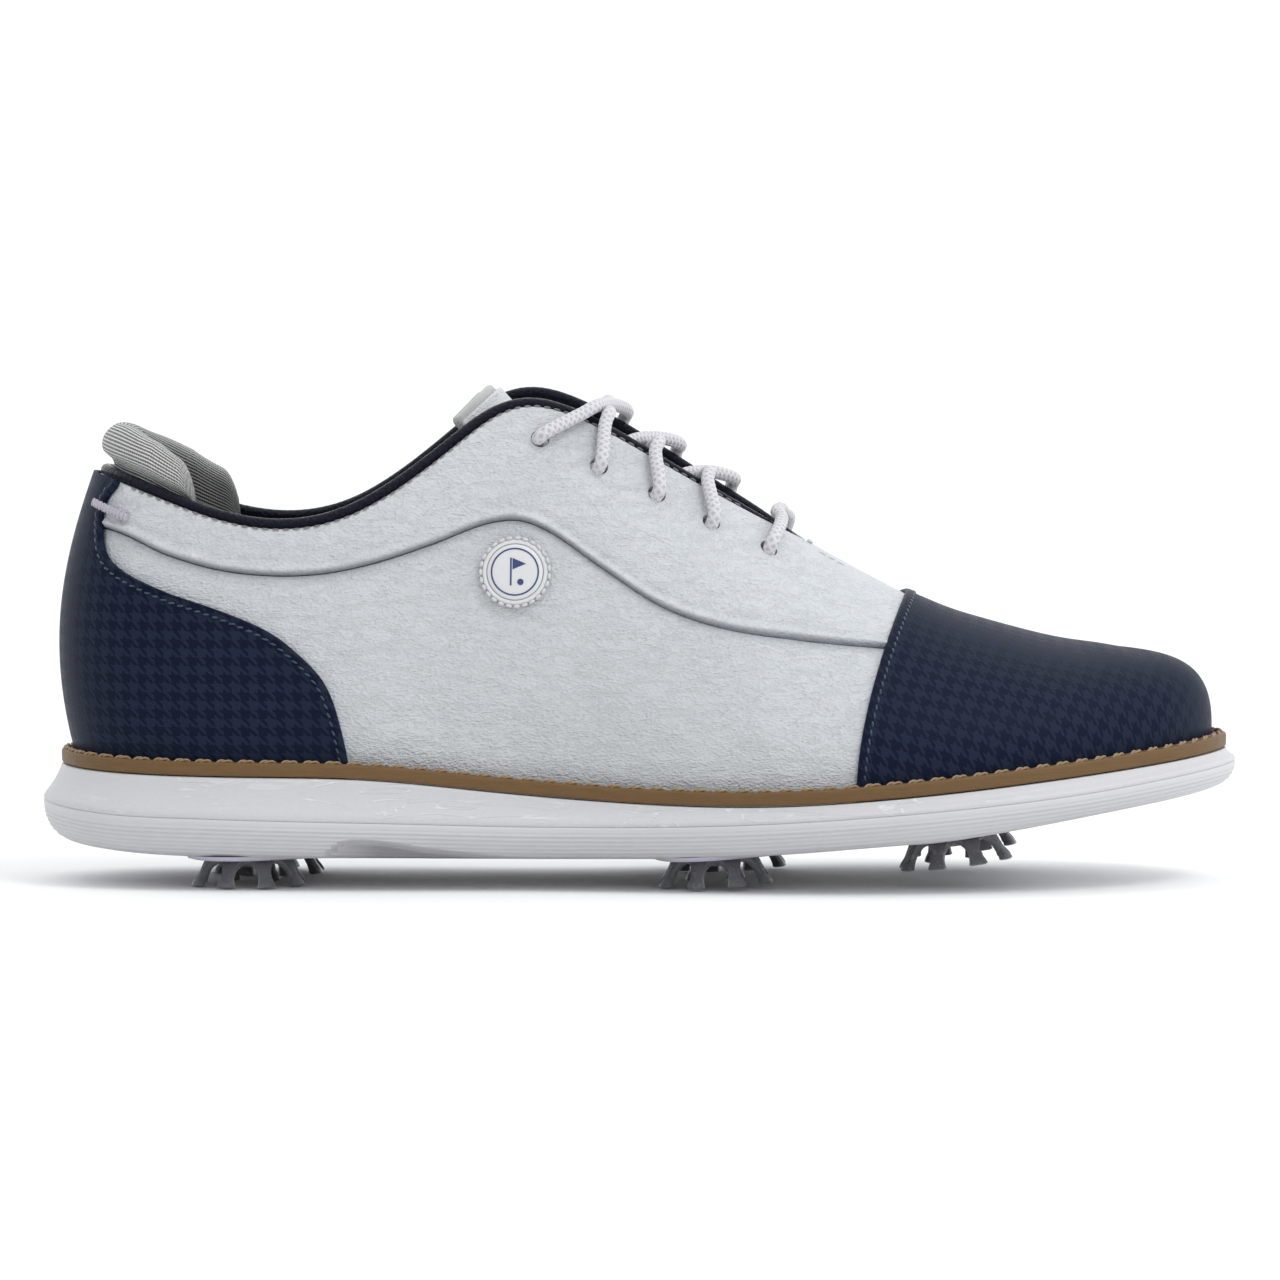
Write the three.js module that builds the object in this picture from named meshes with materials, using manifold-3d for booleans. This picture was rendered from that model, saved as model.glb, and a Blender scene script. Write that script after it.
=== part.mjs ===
// A women's right golf shoe: cemented sole unit with six turn-out cleats and a laced leather upper.
// Millimetres, +X to the toe, +Z up, -Y is the outer (lateral) side of the foot.
import * as THREE from "three";
import { mergeVertices } from "three/addons/utils/BufferGeometryUtils.js";
import Module from "manifold-3d";

const wasm = await Module();
wasm.setup();

// ---------------------------------------------------------------- driving dimensions

// Ribs of the upper from the back of the heel (first row) to the tip of the toe (last row).
// foot: x of the feather line, half widths to the lateral and the medial side, height of the welt top.
// top: x, half opening and height of the upper edge; past the throat it is the ridge of the forefoot.
// lift: how much higher the medial edge stands.  side: y of the ridge.
// rise, bulge: the rib's pull at the foot, up and out.  reach, drop: its pull at the top, out and down.
const RIBS = [
  { foot: [-130.4, 0, 0, 31.2], top: [-126.4, 0, 95.8], lift: 0, side: 0,
    rise: 25, bulge: 7, reach: 9, drop: 25 },
  { foot: [-125, 17.2, 17.2, 30.8], top: [-121.6, 15, 94.4], lift: 0, side: 0,
    rise: 24, bulge: 6, reach: 7, drop: 23 },
  { foot: [-111, 26.6, 26.2, 30.2], top: [-109.5, 23.8, 90], lift: 0, side: 0,
    rise: 21, bulge: 5, reach: 4.5, drop: 19 },
  { foot: [-89, 31, 29.5, 29.9], top: [-90, 27, 84.2], lift: 0, side: 0,
    rise: 19, bulge: 3.5, reach: 3, drop: 16 },
  { foot: [-63, 31.3, 28.3, 29.3], top: [-66, 26.3, 87.2], lift: 0.3, side: 0,
    rise: 20, bulge: 2.5, reach: 3, drop: 18 },
  { foot: [-36, 31, 26, 26.8], top: [-42, 22, 103.3], lift: 1.2, side: 0,
    rise: 24, bulge: 2.5, reach: 6, drop: 24 },
  { foot: [-10, 33, 27, 24.7], top: [-22, 15.5, 111.6], lift: 2, side: 0.3,
    rise: 28, bulge: 2.5, reach: 14, drop: 22 },
  { foot: [14, 37.8, 32, 23.7], top: [6, 12.5, 98.2], lift: 1.8, side: 1,
    rise: 27, bulge: 3, reach: 18, drop: 16 },
  { foot: [33, 41.4, 36.2, 23.9], top: [32, 9.5, 83.4], lift: 0.8, side: 2,
    rise: 25, bulge: 3.2, reach: 21, drop: 8 },
  { foot: [50, 43.2, 39.4, 25], top: [62.5, 7, 66.8], lift: 0, side: 3.5,
    rise: 22, bulge: 3, reach: 24, drop: 3 },
  { foot: [71, 42.4, 41.2, 27], top: [80, 5, 60], lift: 0, side: 5,
    rise: 18, bulge: 2.5, reach: 24, drop: 0 },
  { foot: [93, 37, 39, 29.5], top: [96, 4, 55.8], lift: 0, side: 5.5,
    rise: 16, bulge: 2.2, reach: 22, drop: 0 },
  { foot: [111, 27.8, 32.6, 31.6], top: [106, 3, 54.2], lift: 0, side: 5,
    rise: 15, bulge: 2, reach: 18, drop: 0 },
  { foot: [125, 16, 22.6, 33.4], top: [111.2, 2, 53.4], lift: 0, side: 4.5,
    rise: 16, bulge: 1.8, reach: 17, drop: 0 },
  { foot: [133.2, -3.5, 3.5, 34.6], top: [112.5, 0, 53.2], lift: 0, side: 4.3,
    rise: 17, bulge: 1.6, reach: 17, drop: 0 },
];
const TOE_RIB = RIBS.length - 1;
const CAP_RIB = 9;
const CAP_OVERLAP = 0.42;
const THROAT_START_X = 24;
const THROAT_END_X = 39;
// How gently the ribs change from the open collar to the closed forefoot.
const PULL_EASE = 4;
const THROAT_REACH = 5;

// Layers of the upper as distances from its reference surface, outer face first.
const LAYER = {
  cover: [1.6, 0.7],
  saddle: [0.4, -1.2],
  leather: [0, -1.2],
  lining: [-1.5, -2.6],
};
const GAP = 0.3;

// Side-view outlines, [x, z].
const SADDLE_LINE = [
  [-124, 83.4], [-109, 77.5], [-97, 74.2], [-85, 72.9], [-73.5, 73.3], [-61.7, 75.6], [-48.6, 79.8],
  [-35, 84.9], [-28, 85.6], [-21.3, 83.3], [-8, 74.3], [5.6, 65.7], [18.5, 61.2], [37, 58.1], [54.7, 56.2],
];
const HEEL_COVER_EDGE = [
  [-118, 99], [-120.5, 93], [-123.2, 89.3], [-124, 84], [-123, 77.4], [-120, 74.1], [-109, 68.8],
  [-97, 64.8], [-85.2, 59.7], [-78.1, 54.2], [-73.4, 49.2], [-70.9, 44.5], [-68, 34.2], [-66.5, 26],
];
const COUNTER_EDGE = [
  [-129.5, 84], [-128, 76], [-122, 67], [-110, 61], [-98, 57], [-88, 51.5], [-81, 44.5], [-77.5, 36],
  [-75, 26],
];
const LINING_SEAM = [[34, 90], [24, 60], [30, 40], [40, 10]];
const BACK_X = -170;
const FRONT_X = 160;
const ABOVE_Z = 160;
const SADDLE_LINE_ENDS = { back: [BACK_X, 84], front: [90, 53] };

// Sole unit: heights along the shoe and how far each edge stands out from the feather line.
const WELT_HEIGHT = 3.2;
const WELT_OUT = 5.2;
const SHOULDER_OUT = [[-131, 9.6], [-100, 8], [-40, 7.2], [40, 7.2], [100, 7.2], [134, 7.4]];
const SHOULDER_Z = [
  [-135, 20], [-118, 17.6], [-100, 17], [-60, 16], [-20, 15.2], [20, 16], [60, 18.8], [100, 23], [135, 28.3],
];
const BOTTOM_Z = [
  [-140, 10.5], [-123, 8.6], [-105, 7.7], [-60, 7.3], [-20, 7.2], [20, 8.1], [55, 10.8], [75, 12.6],
  [110, 18], [137, 22],
];
const OUTSOLE_EDGE = [
  { out: -1.8, up: 6 },
  { out: -4.6, up: 2 },
  { out: -8.5, up: 0 },
];
const BOARD_THICKNESS = 2;
const FOOTBED = { thickness: 4, clearance: 0.6, chamferOut: 1.2, chamferDown: 1 };
const SHANK = { from: -95, to: 5, width: 15, thickness: 1.5 };
const HEEL_SEAT_END = -62;

// Cleats: where each one sits, and how far its axis leans with the toe spring.
const CLEATS = [
  { name: "heel_lateral", x: -91, y: -17, tip: 0, lean: 0 },
  { name: "heel_medial", x: -88, y: 17, tip: 0, lean: 0 },
  { name: "ball_lateral", x: 18, y: -23, tip: 0.62, lean: 2.5 },
  { name: "ball_medial", x: 22, y: 23, tip: 0.62, lean: 2.5 },
  { name: "front_lateral", x: 74, y: -19, tip: 5, lean: 7 },
  { name: "front_medial", x: 77, y: 22, tip: 5, lean: 7 },
];
const CLEAT_LEGS = 8;
const CLEAT_LEG_WIDTH = 3.6;
const CLEAT_DEPTH = 7.6;
const CLEAT_LEG = [[5, -0.6], [9.4, -0.6], [14, -6.8], [13, -7.6], [10.6, -7.6], [8, -3.4], [5, -2.4]];
const CLEAT_PLATE = { radius: 9.4, thickness: 1.3, seat: -0.3 };
const STUD = { radius: 4.2, height: 3.8 };
const LUG = { count: 3, radius: 6.1, width: 3.2, from: 2.3, to: 3.6 };
const SOCKET = { radius: 8, height: 5, floor: 4.2, lip: 1.9, bore: 6.6, mouth: 4.6, slotWidth: 4 };

// Lacing: side-view places of the five eyelets, toe end last.
const EYELETS = [[-22.9, 104.1], [-9.3, 97.7], [4.1, 91.2], [16.8, 84.6], [30.2, 78.4]];
const MEDIAL_EYELET_SHIFT = { x: 3, z: -0.3 };
const EYELET_RADIUS = 2.5;
const LACE_RADIUS = 1.55;
const AGLET = { radius: 1.5, length: 20 };
const BINDING_RADIUS = 1.2;

// Tongue: centre line of its upper face with the radius and half width of its arched cross-section.
const TONGUE = [
  { x: 49, y: 2.6, z: 67, radius: 44, half: 12 },
  { x: 36, y: 2, z: 74, radius: 34, half: 14 },
  { x: 20, y: 1.6, z: 82.6, radius: 24, half: 17 },
  { x: 4, y: 1, z: 91.4, radius: 21.5, half: 19 },
  { x: -12, y: 0.5, z: 100.4, radius: 18.5, half: 20 },
  { x: -26, y: 0.2, z: 109.6, radius: 17, half: 21 },
  { x: -37, y: 0, z: 115.8, radius: 16.5, half: 22 },
];
const TONGUE_LAYERS = { face: [0, -1.2], foam: [-1.5, -4.2], lining: [-4.5, -5.3] };

// Heel pad: section [out, up] measured from the collar edge, and how far forward each wing runs.
const PAD_SECTION = [
  [-3.6, -18], [-3.6, -1], [-3.1, 2.8], [-0.6, 5.6], [-1, 9], [-4, 11.6], [-8, 10.6], [-11, 5],
  [-11.6, -6], [-9.5, -15], [-6, -19],
];
const PAD_LATERAL_RIB = 2.33;
const PAD_MEDIAL_RIB = 2.78;
const PAD_TIP = 0.6;

const BADGE = { x: -28.5, z: 73.5, radius: 8, ring: 6.9, disc: 6.3, height: 1.5, discHeight: 1, lift: 0.7 };

const COLOR = {
  white: 0xeef0f2, navy: 0x1d2b4c, binding: 0x0d1424, tan: 0x8a6a45, sole: 0xf1f1f3, grey: 0x9b9c99,
  liner: 0xc9ccca, board: 0xb79a72, steel: 0x9aa0a6, cleat: 0x6b6c72, socket: 0xb9b1cc, lace: 0xf7f7f9,
};

// ---------------------------------------------------------------- curves

// Smooth closed curve through evenly spaced values.
function closedSpline(values) {
  const n = values.length;
  const bend = new Array(n).fill(0);
  for (let pass = 0; pass < 60; pass++) {
    for (let i = 0; i < n; i++) {
      const before = (i + n - 1) % n;
      const after = (i + 1) % n;
      bend[i] = (6 * (values[before] - 2 * values[i] + values[after]) - bend[before] - bend[after]) / 4;
    }
  }
  return (s) => {
    const t = ((s % n) + n) % n;
    const i = Math.floor(t) % n;
    const f = t - Math.floor(t);
    const g = 1 - f;
    const j = (i + 1) % n;
    return g * values[i] + f * values[j] + ((g ** 3 - g) * bend[i] + (f ** 3 - f) * bend[j]) / 6;
  };
}

// Values along the lateral side, then back along the medial side.
function aroundShoe(lateral, medial = lateral) {
  return closedSpline([...RIBS.map(lateral), ...RIBS.slice(1, -1).reverse().map(medial)]);
}

const footX = aroundShoe((r) => r.foot[0]);
const footY = aroundShoe((r) => -r.foot[1], (r) => r.foot[2]);
const footZ = aroundShoe((r) => r.foot[3] - WELT_HEIGHT);
const topX = aroundShoe((r) => r.top[0]);
const topGap = aroundShoe((r) => -r.top[1], (r) => r.top[1]);
const topZ = aroundShoe((r) => r.top[2]);
const topLift = aroundShoe(() => 0, (r) => r.lift);
const ridgeY = aroundShoe((r) => r.side);
const rise = aroundShoe((r) => r.rise);
const bulge = aroundShoe((r) => r.bulge);
const reach = aroundShoe((r) => r.reach);
const drop = aroundShoe((r) => r.drop);

// Smooth interpolation through [x, value] points.
function along(points) {
  return (x) => {
    let i = 0;
    while (i < points.length - 2 && x > points[i + 1][0]) i++;
    const slope = (k) => {
      const a = points[Math.max(0, k - 1)];
      const b = points[Math.min(points.length - 1, k + 1)];
      return (b[1] - a[1]) / (b[0] - a[0]);
    };
    const [x0, y0] = points[i];
    const [x1, y1] = points[i + 1];
    const w = x1 - x0;
    const t = Math.min(1, Math.max(0, (x - x0) / w));
    const h = t * t * (3 - 2 * t);
    return y0 + (y1 - y0) * h + w * (slope(i) * t * (1 - t) ** 2 - slope(i + 1) * t * t * (1 - t));
  };
}

// Ribs where the lacing gap starts to close and where it is closed.
const BEND_RIB = bisect((r) => topX(r) - THROAT_START_X, 6, 9);
const THROAT_RIB = bisect((r) => topX(r) - THROAT_END_X, 7, 9);

const shoulderOut = along(SHOULDER_OUT);
const shoulderZ = along(SHOULDER_Z);
const bottomZ = along(BOTTOM_Z);

// ---------------------------------------------------------------- surface of the upper
// s runs round the shoe in ribs: 0 heel, TOE_RIB toe along the lateral side, and on back along the medial
// side (so -s is the medial twin of s); v runs up a rib from the feather line (0) to the upper edge (1).

// 1 where the upper edge is open, 0 past the throat where both sides meet on the ridge.
function openness(s) {
  const t = (topX(s) - THROAT_START_X) / (THROAT_END_X - THROAT_START_X);
  if (t <= 0) return 1;
  return t >= 1 ? 0 : Math.sqrt(1 - t * t);
}

function outward(s) {
  const e = 0.01;
  const dx = footX(s + e) - footX(s - e);
  const dy = footY(s + e) - footY(s - e);
  return new THREE.Vector3(dy, -dx, 0).normalize();
}

function ridgeSlope(s) {
  const r = Math.min(Math.abs(s), 2 * TOE_RIB - Math.abs(s));
  const at = Math.min(Math.max(r, THROAT_RIB), TOE_RIB - 0.05);
  const e = 0.01;
  return (topZ(at + e) - topZ(at - e)) / (topX(at + e) - topX(at - e));
}

function surface(s, v, open = openness(s)) {
  const out = outward(s);
  const foot = new THREE.Vector3(footX(s), footY(s), footZ(s));
  const eased = open ** PULL_EASE;
  const top = new THREE.Vector3(topX(s), ridgeY(s) + eased * topGap(s), topZ(s) + eased * topLift(s));
  const footPull = foot.clone().addScaledVector(out, bulge(s));
  footPull.z += rise(s);
  const topPull = top.clone().addScaledVector(out, reach(s));
  const forward = open < 1 ? ridgeSlope(s) * out.x * reach(s) : 0;
  topPull.z += (1 - eased) * forward - eased * drop(s);
  const w = 1 - v;
  const point = foot.multiplyScalar(w ** 3)
    .addScaledVector(footPull, 3 * w * w * v)
    .addScaledVector(topPull, 3 * w * v * v)
    .addScaledVector(top, v ** 3);
  const nearEdge = (open - eased) * v ** THROAT_REACH;
  point.y += nearEdge * topGap(s);
  point.z += nearEdge * topLift(s);
  return point;
}

function slopeNormal(s, v) {
  const e = 0.01;
  const open = openness(s);
  const vb = Math.min(1, v + e);
  const ds = surface(s + e, v, open).sub(surface(s - e, v, open));
  const dv = surface(s, vb, open).sub(surface(s, vb - 2 * e, open));
  return ds.cross(dv).normalize();
}

function surfaceNormal(s, v) {
  const n = slopeNormal(s, v);
  const onRidge = v > 0.999 && openness(s) === 0;
  return onRidge ? n.add(slopeNormal(-s, v)).normalize() : n;
}

// A point at a given height above (positive) or inside (negative) the reference surface.
// Along the feather line the layers stand side by side, so the offset there is level.
function layerPoint(s, v, height) {
  const n = surfaceNormal(s, v);
  n.z *= Math.min(1, v * 6);
  return surface(s, v).addScaledVector(n.normalize(), height);
}

// The [s, v] of the surface point seen at (x, z) from the side; side is -1 lateral, +1 medial.
function locate(x, z, side) {
  let r = 5;
  let v = 0.8;
  for (let round = 0; round < 12; round++) {
    r = bisect((q) => surface(-side * q, v).x - x, 0, THROAT_RIB);
    v = bisect((q) => surface(-side * r, q).z - z, 0, 1);
  }
  return [-side * r, v];
}

function bisect(f, low, high) {
  let a = low;
  let b = high;
  for (let i = 0; i < 30; i++) {
    const mid = (a + b) / 2;
    if (f(mid) < 0) a = mid;
    else b = mid;
  }
  return (a + b) / 2;
}

// Rib positions from 0 to the toe, gathered where the throat turns.
function ribStops() {
  const stops = [];
  const even = (from, to, count) => {
    for (let i = 0; i < count; i++) stops.push(from + ((to - from) * i) / count);
  };
  even(0, BEND_RIB, 11);
  for (const angle of [0, 0.5, 0.85, 1.2, 1.45]) {
    stops.push(BEND_RIB + (THROAT_RIB - BEND_RIB) * Math.sin(angle));
  }
  even(THROAT_RIB, CAP_RIB, 2);
  even(CAP_RIB, CAP_RIB + CAP_OVERLAP, 1);
  even(CAP_RIB + CAP_OVERLAP, TOE_RIB, 8);
  return [...stops, TOE_RIB];
}

const STOPS = ribStops();
const NEAR_STOP = 0.02;

// The same positions over both sides between two signed limits.
function stopsBetween(from, to) {
  const between = STOPS.slice(1, -1);
  const medial = between.map((r) => -r).reverse();
  const pastToe = between.map((r) => 2 * TOE_RIB - r).reverse();
  const both = [...medial, ...STOPS, ...pastToe];
  return [from, ...both.filter((s) => s > from + NEAR_STOP && s < to - NEAR_STOP), to];
}

// ---------------------------------------------------------------- meshes

function meshFrom(points, faces) {
  const geometry = new THREE.BufferGeometry();
  const numbers = points.flatMap((p) => [p.x, p.y, p.z]);
  geometry.setAttribute("position", new THREE.Float32BufferAttribute(numbers, 3));
  geometry.setIndex(faces.flat());
  return dropSlivers(mergeVertices(geometry, 1e-3));
}

// Faces whose corners merged into a line are left out.
function dropSlivers(geometry) {
  const index = geometry.getIndex().array;
  const kept = [];
  for (let i = 0; i < index.length; i += 3) {
    const [a, b, c] = [index[i], index[i + 1], index[i + 2]];
    if (a !== b && b !== c && c !== a) kept.push(a, b, c);
  }
  geometry.setIndex(kept);
  return geometry;
}

// A curved sheet of the upper between two layers; place(s, v, height) gives its points.
function sheet(place, stops, rows, [outer, inner], isRidge = () => false) {
  const wide = stops.length;
  const points = [];
  for (const height of [outer, inner]) {
    for (const s of stops) {
      for (const v of rows) points.push(place(s, v, height));
    }
  }
  const closed = points[0].distanceTo(points[(wide - 1) * rows.length]) < 1e-3;
  const at = (side, i, j) => side * wide * rows.length + i * rows.length + j;
  const faces = [];
  const quad = (a, b, c, d) => faces.push([a, b, c], [a, c, d]);
  const last = rows.length - 1;
  for (let i = 0; i < wide - 1; i++) {
    for (let j = 0; j < last; j++) {
      quad(at(0, i, j), at(0, i + 1, j), at(0, i + 1, j + 1), at(0, i, j + 1));
      quad(at(1, i, j), at(1, i, j + 1), at(1, i + 1, j + 1), at(1, i + 1, j));
    }
    quad(at(0, i, 0), at(1, i, 0), at(1, i + 1, 0), at(0, i + 1, 0));
    if (!isRidge(stops[i], stops[i + 1])) {
      quad(at(0, i, last), at(0, i + 1, last), at(1, i + 1, last), at(1, i, last));
    }
  }
  if (!closed) {
    for (let j = 0; j < last; j++) {
      quad(at(0, 0, j), at(0, 0, j + 1), at(1, 0, j + 1), at(1, 0, j));
      quad(at(0, wide - 1, j), at(1, wide - 1, j), at(1, wide - 1, j + 1), at(0, wide - 1, j + 1));
    }
  }
  return meshFrom(points, faces);
}

const ROWS = [0, 1, 2, 3, 4, 5, 6].map((i) => i / 6);

function upperSheet(from, to, layer) {
  const past = (s) => openness(s) === 0;
  return sheet(layerPoint, stopsBetween(from, to), ROWS, layer, (a, b) => past(a) && past(b));
}

// One horizontal ring round the sole: the feather line moved out, at a height that follows x.
function soleRing(out, height) {
  const stops = stopsBetween(0, 2 * TOE_RIB).slice(0, -1);
  return stops.map((s) => {
    const base = new THREE.Vector3(footX(s), footY(s), 0);
    const spread = typeof out === "number" ? out : out(base.x, s);
    base.addScaledVector(outward(s), spread);
    base.z = height(base.x, s);
    return base;
  });
}

// Rings stacked from the underside to the upper side, closed by a ladder of faces at each end.
function stack(rings) {
  const n = rings[0].length;
  const faces = [];
  for (let k = 0; k < rings.length - 1; k++) {
    for (let i = 0; i < n; i++) {
      const a = k * n + i;
      const b = k * n + ((i + 1) % n);
      faces.push([a, b, b + n], [a, b + n, a + n]);
    }
  }
  const top = (rings.length - 1) * n;
  for (let i = 0; i < n / 2; i++) {
    const a = i;
    const b = i + 1;
    const c = (n - i - 1) % n;
    const d = (n - i) % n;
    faces.push([a, d, c], [a, c, b], [top + a, top + c, top + d], [top + a, top + b, top + c]);
  }
  return meshFrom(rings.flat(), faces);
}

// Rings closed on themselves, like a tyre.
function hoop(rings) {
  const n = rings[0].length;
  const faces = [];
  rings.forEach((ring, k) => {
    const next = (k + 1) % rings.length;
    for (let i = 0; i < n; i++) {
      const j = (i + 1) % n;
      faces.push([k * n + i, k * n + j, next * n + j], [k * n + i, next * n + j, next * n + i]);
    }
  });
  return meshFrom(rings.flat(), faces);
}

// ---------------------------------------------------------------- solids cut and joined

function toManifold(geometry) {
  const clean = geometry.clone();
  clean.deleteAttribute("normal");
  clean.deleteAttribute("uv");
  const merged = dropSlivers(mergeVertices(clean, 1e-3));
  return new wasm.Manifold(new wasm.Mesh({
    numProp: 3,
    vertProperties: new Float32Array(merged.attributes.position.array),
    triVerts: new Uint32Array(merged.index.array),
  }));
}

function fromManifold(solid) {
  const mesh = solid.getMesh();
  const geometry = new THREE.BufferGeometry();
  geometry.setAttribute("position", new THREE.Float32BufferAttribute(mesh.vertProperties, 3));
  geometry.setIndex(Array.from(mesh.triVerts));
  return dropSlivers(mergeVertices(geometry, 1e-3));
}

function subtract(body, ...tools) {
  return fromManifold(tools.reduce((solid, tool) => solid.subtract(toManifold(tool)), toManifold(body)));
}

function intersect(body, tool) {
  return fromManifold(toManifold(body).intersect(toManifold(tool)));
}

function join(...bodies) {
  const solids = bodies.map(toManifold);
  return fromManifold(solids.reduce((whole, solid) => whole.add(solid)));
}

// A block across the shoe with a side-view outline, between two values of y.
function crossBlock(outline, from = -90, to = 90) {
  const shape = new THREE.Shape(outline.map(([x, z]) => new THREE.Vector2(x, z)));
  const block = new THREE.ExtrudeGeometry(shape, { depth: to - from, bevelEnabled: false });
  block.rotateX(Math.PI / 2);
  block.translate(0, to, 0);
  return block;
}

// A curve moved sideways by a distance, to the left of its direction.
function moved(points, distance) {
  return points.map(([x, z], i) => {
    const [ax, az] = points[Math.max(0, i - 1)];
    const [bx, bz] = points[Math.min(points.length - 1, i + 1)];
    const length = Math.hypot(bx - ax, bz - az);
    return [x - ((bz - az) / length) * distance, z + ((bx - ax) / length) * distance];
  });
}

function rod(radius, length, sides) {
  const body = new THREE.CylinderGeometry(radius, radius, length, sides);
  body.rotateX(Math.PI / 2);
  return body;
}

// A path that is walked from one given point to the next in even steps.
class Route extends THREE.CatmullRomCurve3 {
  getPointAt(t) {
    return this.getPoint(t);
  }

  getTangentAt(t) {
    return this.getTangent(t);
  }
}

function tube(path, radius, sides, steps) {
  const shape = new THREE.Shape();
  for (let i = 0; i < sides; i++) {
    const angle = (2 * Math.PI * i) / sides;
    const corner = [radius * Math.cos(angle), radius * Math.sin(angle)];
    if (i === 0) shape.moveTo(...corner);
    else shape.lineTo(...corner);
  }
  shape.closePath();
  return new THREE.ExtrudeGeometry(shape, { steps, bevelEnabled: false, extrudePath: path });
}

// ---------------------------------------------------------------- sole unit

const weltUnderside = (x, s) => footZ(s);

function welt() {
  const inside = LAYER.cover[0] + GAP;
  const upperLean = (x, s) => inside + (1.1 * WELT_HEIGHT * bulge(s)) / rise(s);
  const topFace = (x, s) => footZ(s) + WELT_HEIGHT;
  return hoop([
    soleRing(inside, weltUnderside),
    soleRing(WELT_OUT, weltUnderside),
    soleRing(WELT_OUT, (x, s) => topFace(x, s) - 0.4),
    soleRing(WELT_OUT - 0.5, topFace),
    soleRing(upperLean, topFace),
  ]);
}

function midsole() {
  const body = stack([
    soleRing((x) => shoulderOut(x) - 0.3, (x) => shoulderZ(x) + GAP / 2),
    soleRing(shoulderOut, (x) => shoulderZ(x) + 1),
    soleRing(WELT_OUT, (x, s) => footZ(s) - GAP),
  ]);
  return subtract(body, shankStrip(GAP));
}

function outsole() {
  const edges = OUTSOLE_EDGE.map(({ out, up }) => {
    return soleRing((x) => shoulderOut(x) + out, (x) => bottomZ(x) + up);
  }).reverse();
  const body = stack([
    ...edges,
    soleRing(shoulderOut, (x) => shoulderZ(x) - 1),
    soleRing((x) => shoulderOut(x) - 0.3, (x) => shoulderZ(x) - GAP / 2),
  ]);
  const pockets = CLEATS.map((cleat) => {
    const hole = rod(SOCKET.radius + GAP, SOCKET.height + 10, 16);
    hole.translate(0, 0, (SOCKET.height + GAP - 10) / 2);
    return atCleat(cleat, hole);
  });
  return subtract(body, ...pockets);
}

// The spring-steel shank lies in the top of the midsole under the arch.
function shankStrip(margin) {
  const steps = 10;
  const half = SHANK.width / 2 + margin;
  const points = [];
  const faces = [];
  for (let i = 0; i <= steps; i++) {
    const x = SHANK.from - margin + ((SHANK.to - SHANK.from + 2 * margin) * i) / steps;
    const z = midsoleTop(x) - GAP - SHANK.thickness;
    const low = z - margin;
    const high = z + SHANK.thickness + (margin ? 4 : 0);
    points.push([x, -half, low], [x, half, low], [x, half, high], [x, -half, high]);
    if (i === steps) break;
    for (let k = 0; k < 4; k++) {
      const a = 4 * i + k;
      const b = 4 * i + ((k + 1) % 4);
      faces.push([a, b + 4, a + 4], [a, b, b + 4]);
    }
  }
  const end = 4 * steps;
  faces.push([0, 2, 1], [0, 3, 2], [end, end + 1, end + 2], [end, end + 2, end + 3]);
  return meshFrom(points.map((p) => new THREE.Vector3(...p)), faces);
}

// Height of the midsole's upper face at x.
function midsoleTop(x) {
  return footZ(bisect((r) => footX(r) - x, 0, TOE_RIB)) - GAP;
}

function insoleBoard() {
  const inset = LAYER.lining[1] - GAP;
  return stack([
    soleRing(inset, (x, s) => footZ(s)),
    soleRing(inset, (x, s) => footZ(s) + BOARD_THICKNESS),
  ]);
}

// The footbed's top is level under the heel, then follows the board.
function footbedTop(x) {
  const under = midsoleTop(Math.max(x, HEEL_SEAT_END));
  return under + GAP + BOARD_THICKNESS + GAP + FOOTBED.thickness;
}

function footbed() {
  const inset = LAYER.lining[1] - GAP - FOOTBED.clearance;
  return stack([
    soleRing(inset, (x, s) => footZ(s) + BOARD_THICKNESS + GAP),
    soleRing(inset, (x) => footbedTop(x) - FOOTBED.chamferDown),
    soleRing(inset - FOOTBED.chamferOut, footbedTop),
  ]);
}

// ---------------------------------------------------------------- cleats

// Moves a shape made round the Z axis, seat at z 0, onto its place under the sole.
function atCleat(cleat, geometry) {
  const lean = THREE.MathUtils.degToRad(cleat.lean);
  const forward = Math.sin(lean) * CLEAT_DEPTH;
  const up = Math.cos(lean) * CLEAT_DEPTH;
  geometry.rotateY(-lean);
  geometry.translate(cleat.x - forward, cleat.y, cleat.tip + up);
  return geometry;
}

function cleat(place) {
  const plate = rod(CLEAT_PLATE.radius, CLEAT_PLATE.thickness, 16);
  plate.translate(0, 0, CLEAT_PLATE.seat - CLEAT_PLATE.thickness / 2);
  const stud = rod(STUD.radius, STUD.height + 1, 9);
  stud.translate(0, 0, (STUD.height - 1) / 2);
  const parts = [plate, stud];
  for (let i = 0; i < LUG.count; i++) {
    const lug = new THREE.BoxGeometry(LUG.radius, LUG.width, LUG.to - LUG.from);
    lug.translate(LUG.radius / 2, 0, (LUG.from + LUG.to) / 2);
    lug.rotateZ((2 * Math.PI * i) / LUG.count);
    parts.push(lug);
  }
  for (let i = 0; i < CLEAT_LEGS; i++) {
    const leg = crossBlock(CLEAT_LEG, -CLEAT_LEG_WIDTH / 2, CLEAT_LEG_WIDTH / 2);
    leg.rotateZ((2 * Math.PI * (i + 0.5)) / CLEAT_LEGS);
    parts.push(leg);
  }
  return atCleat(place, join(...parts));
}

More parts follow.
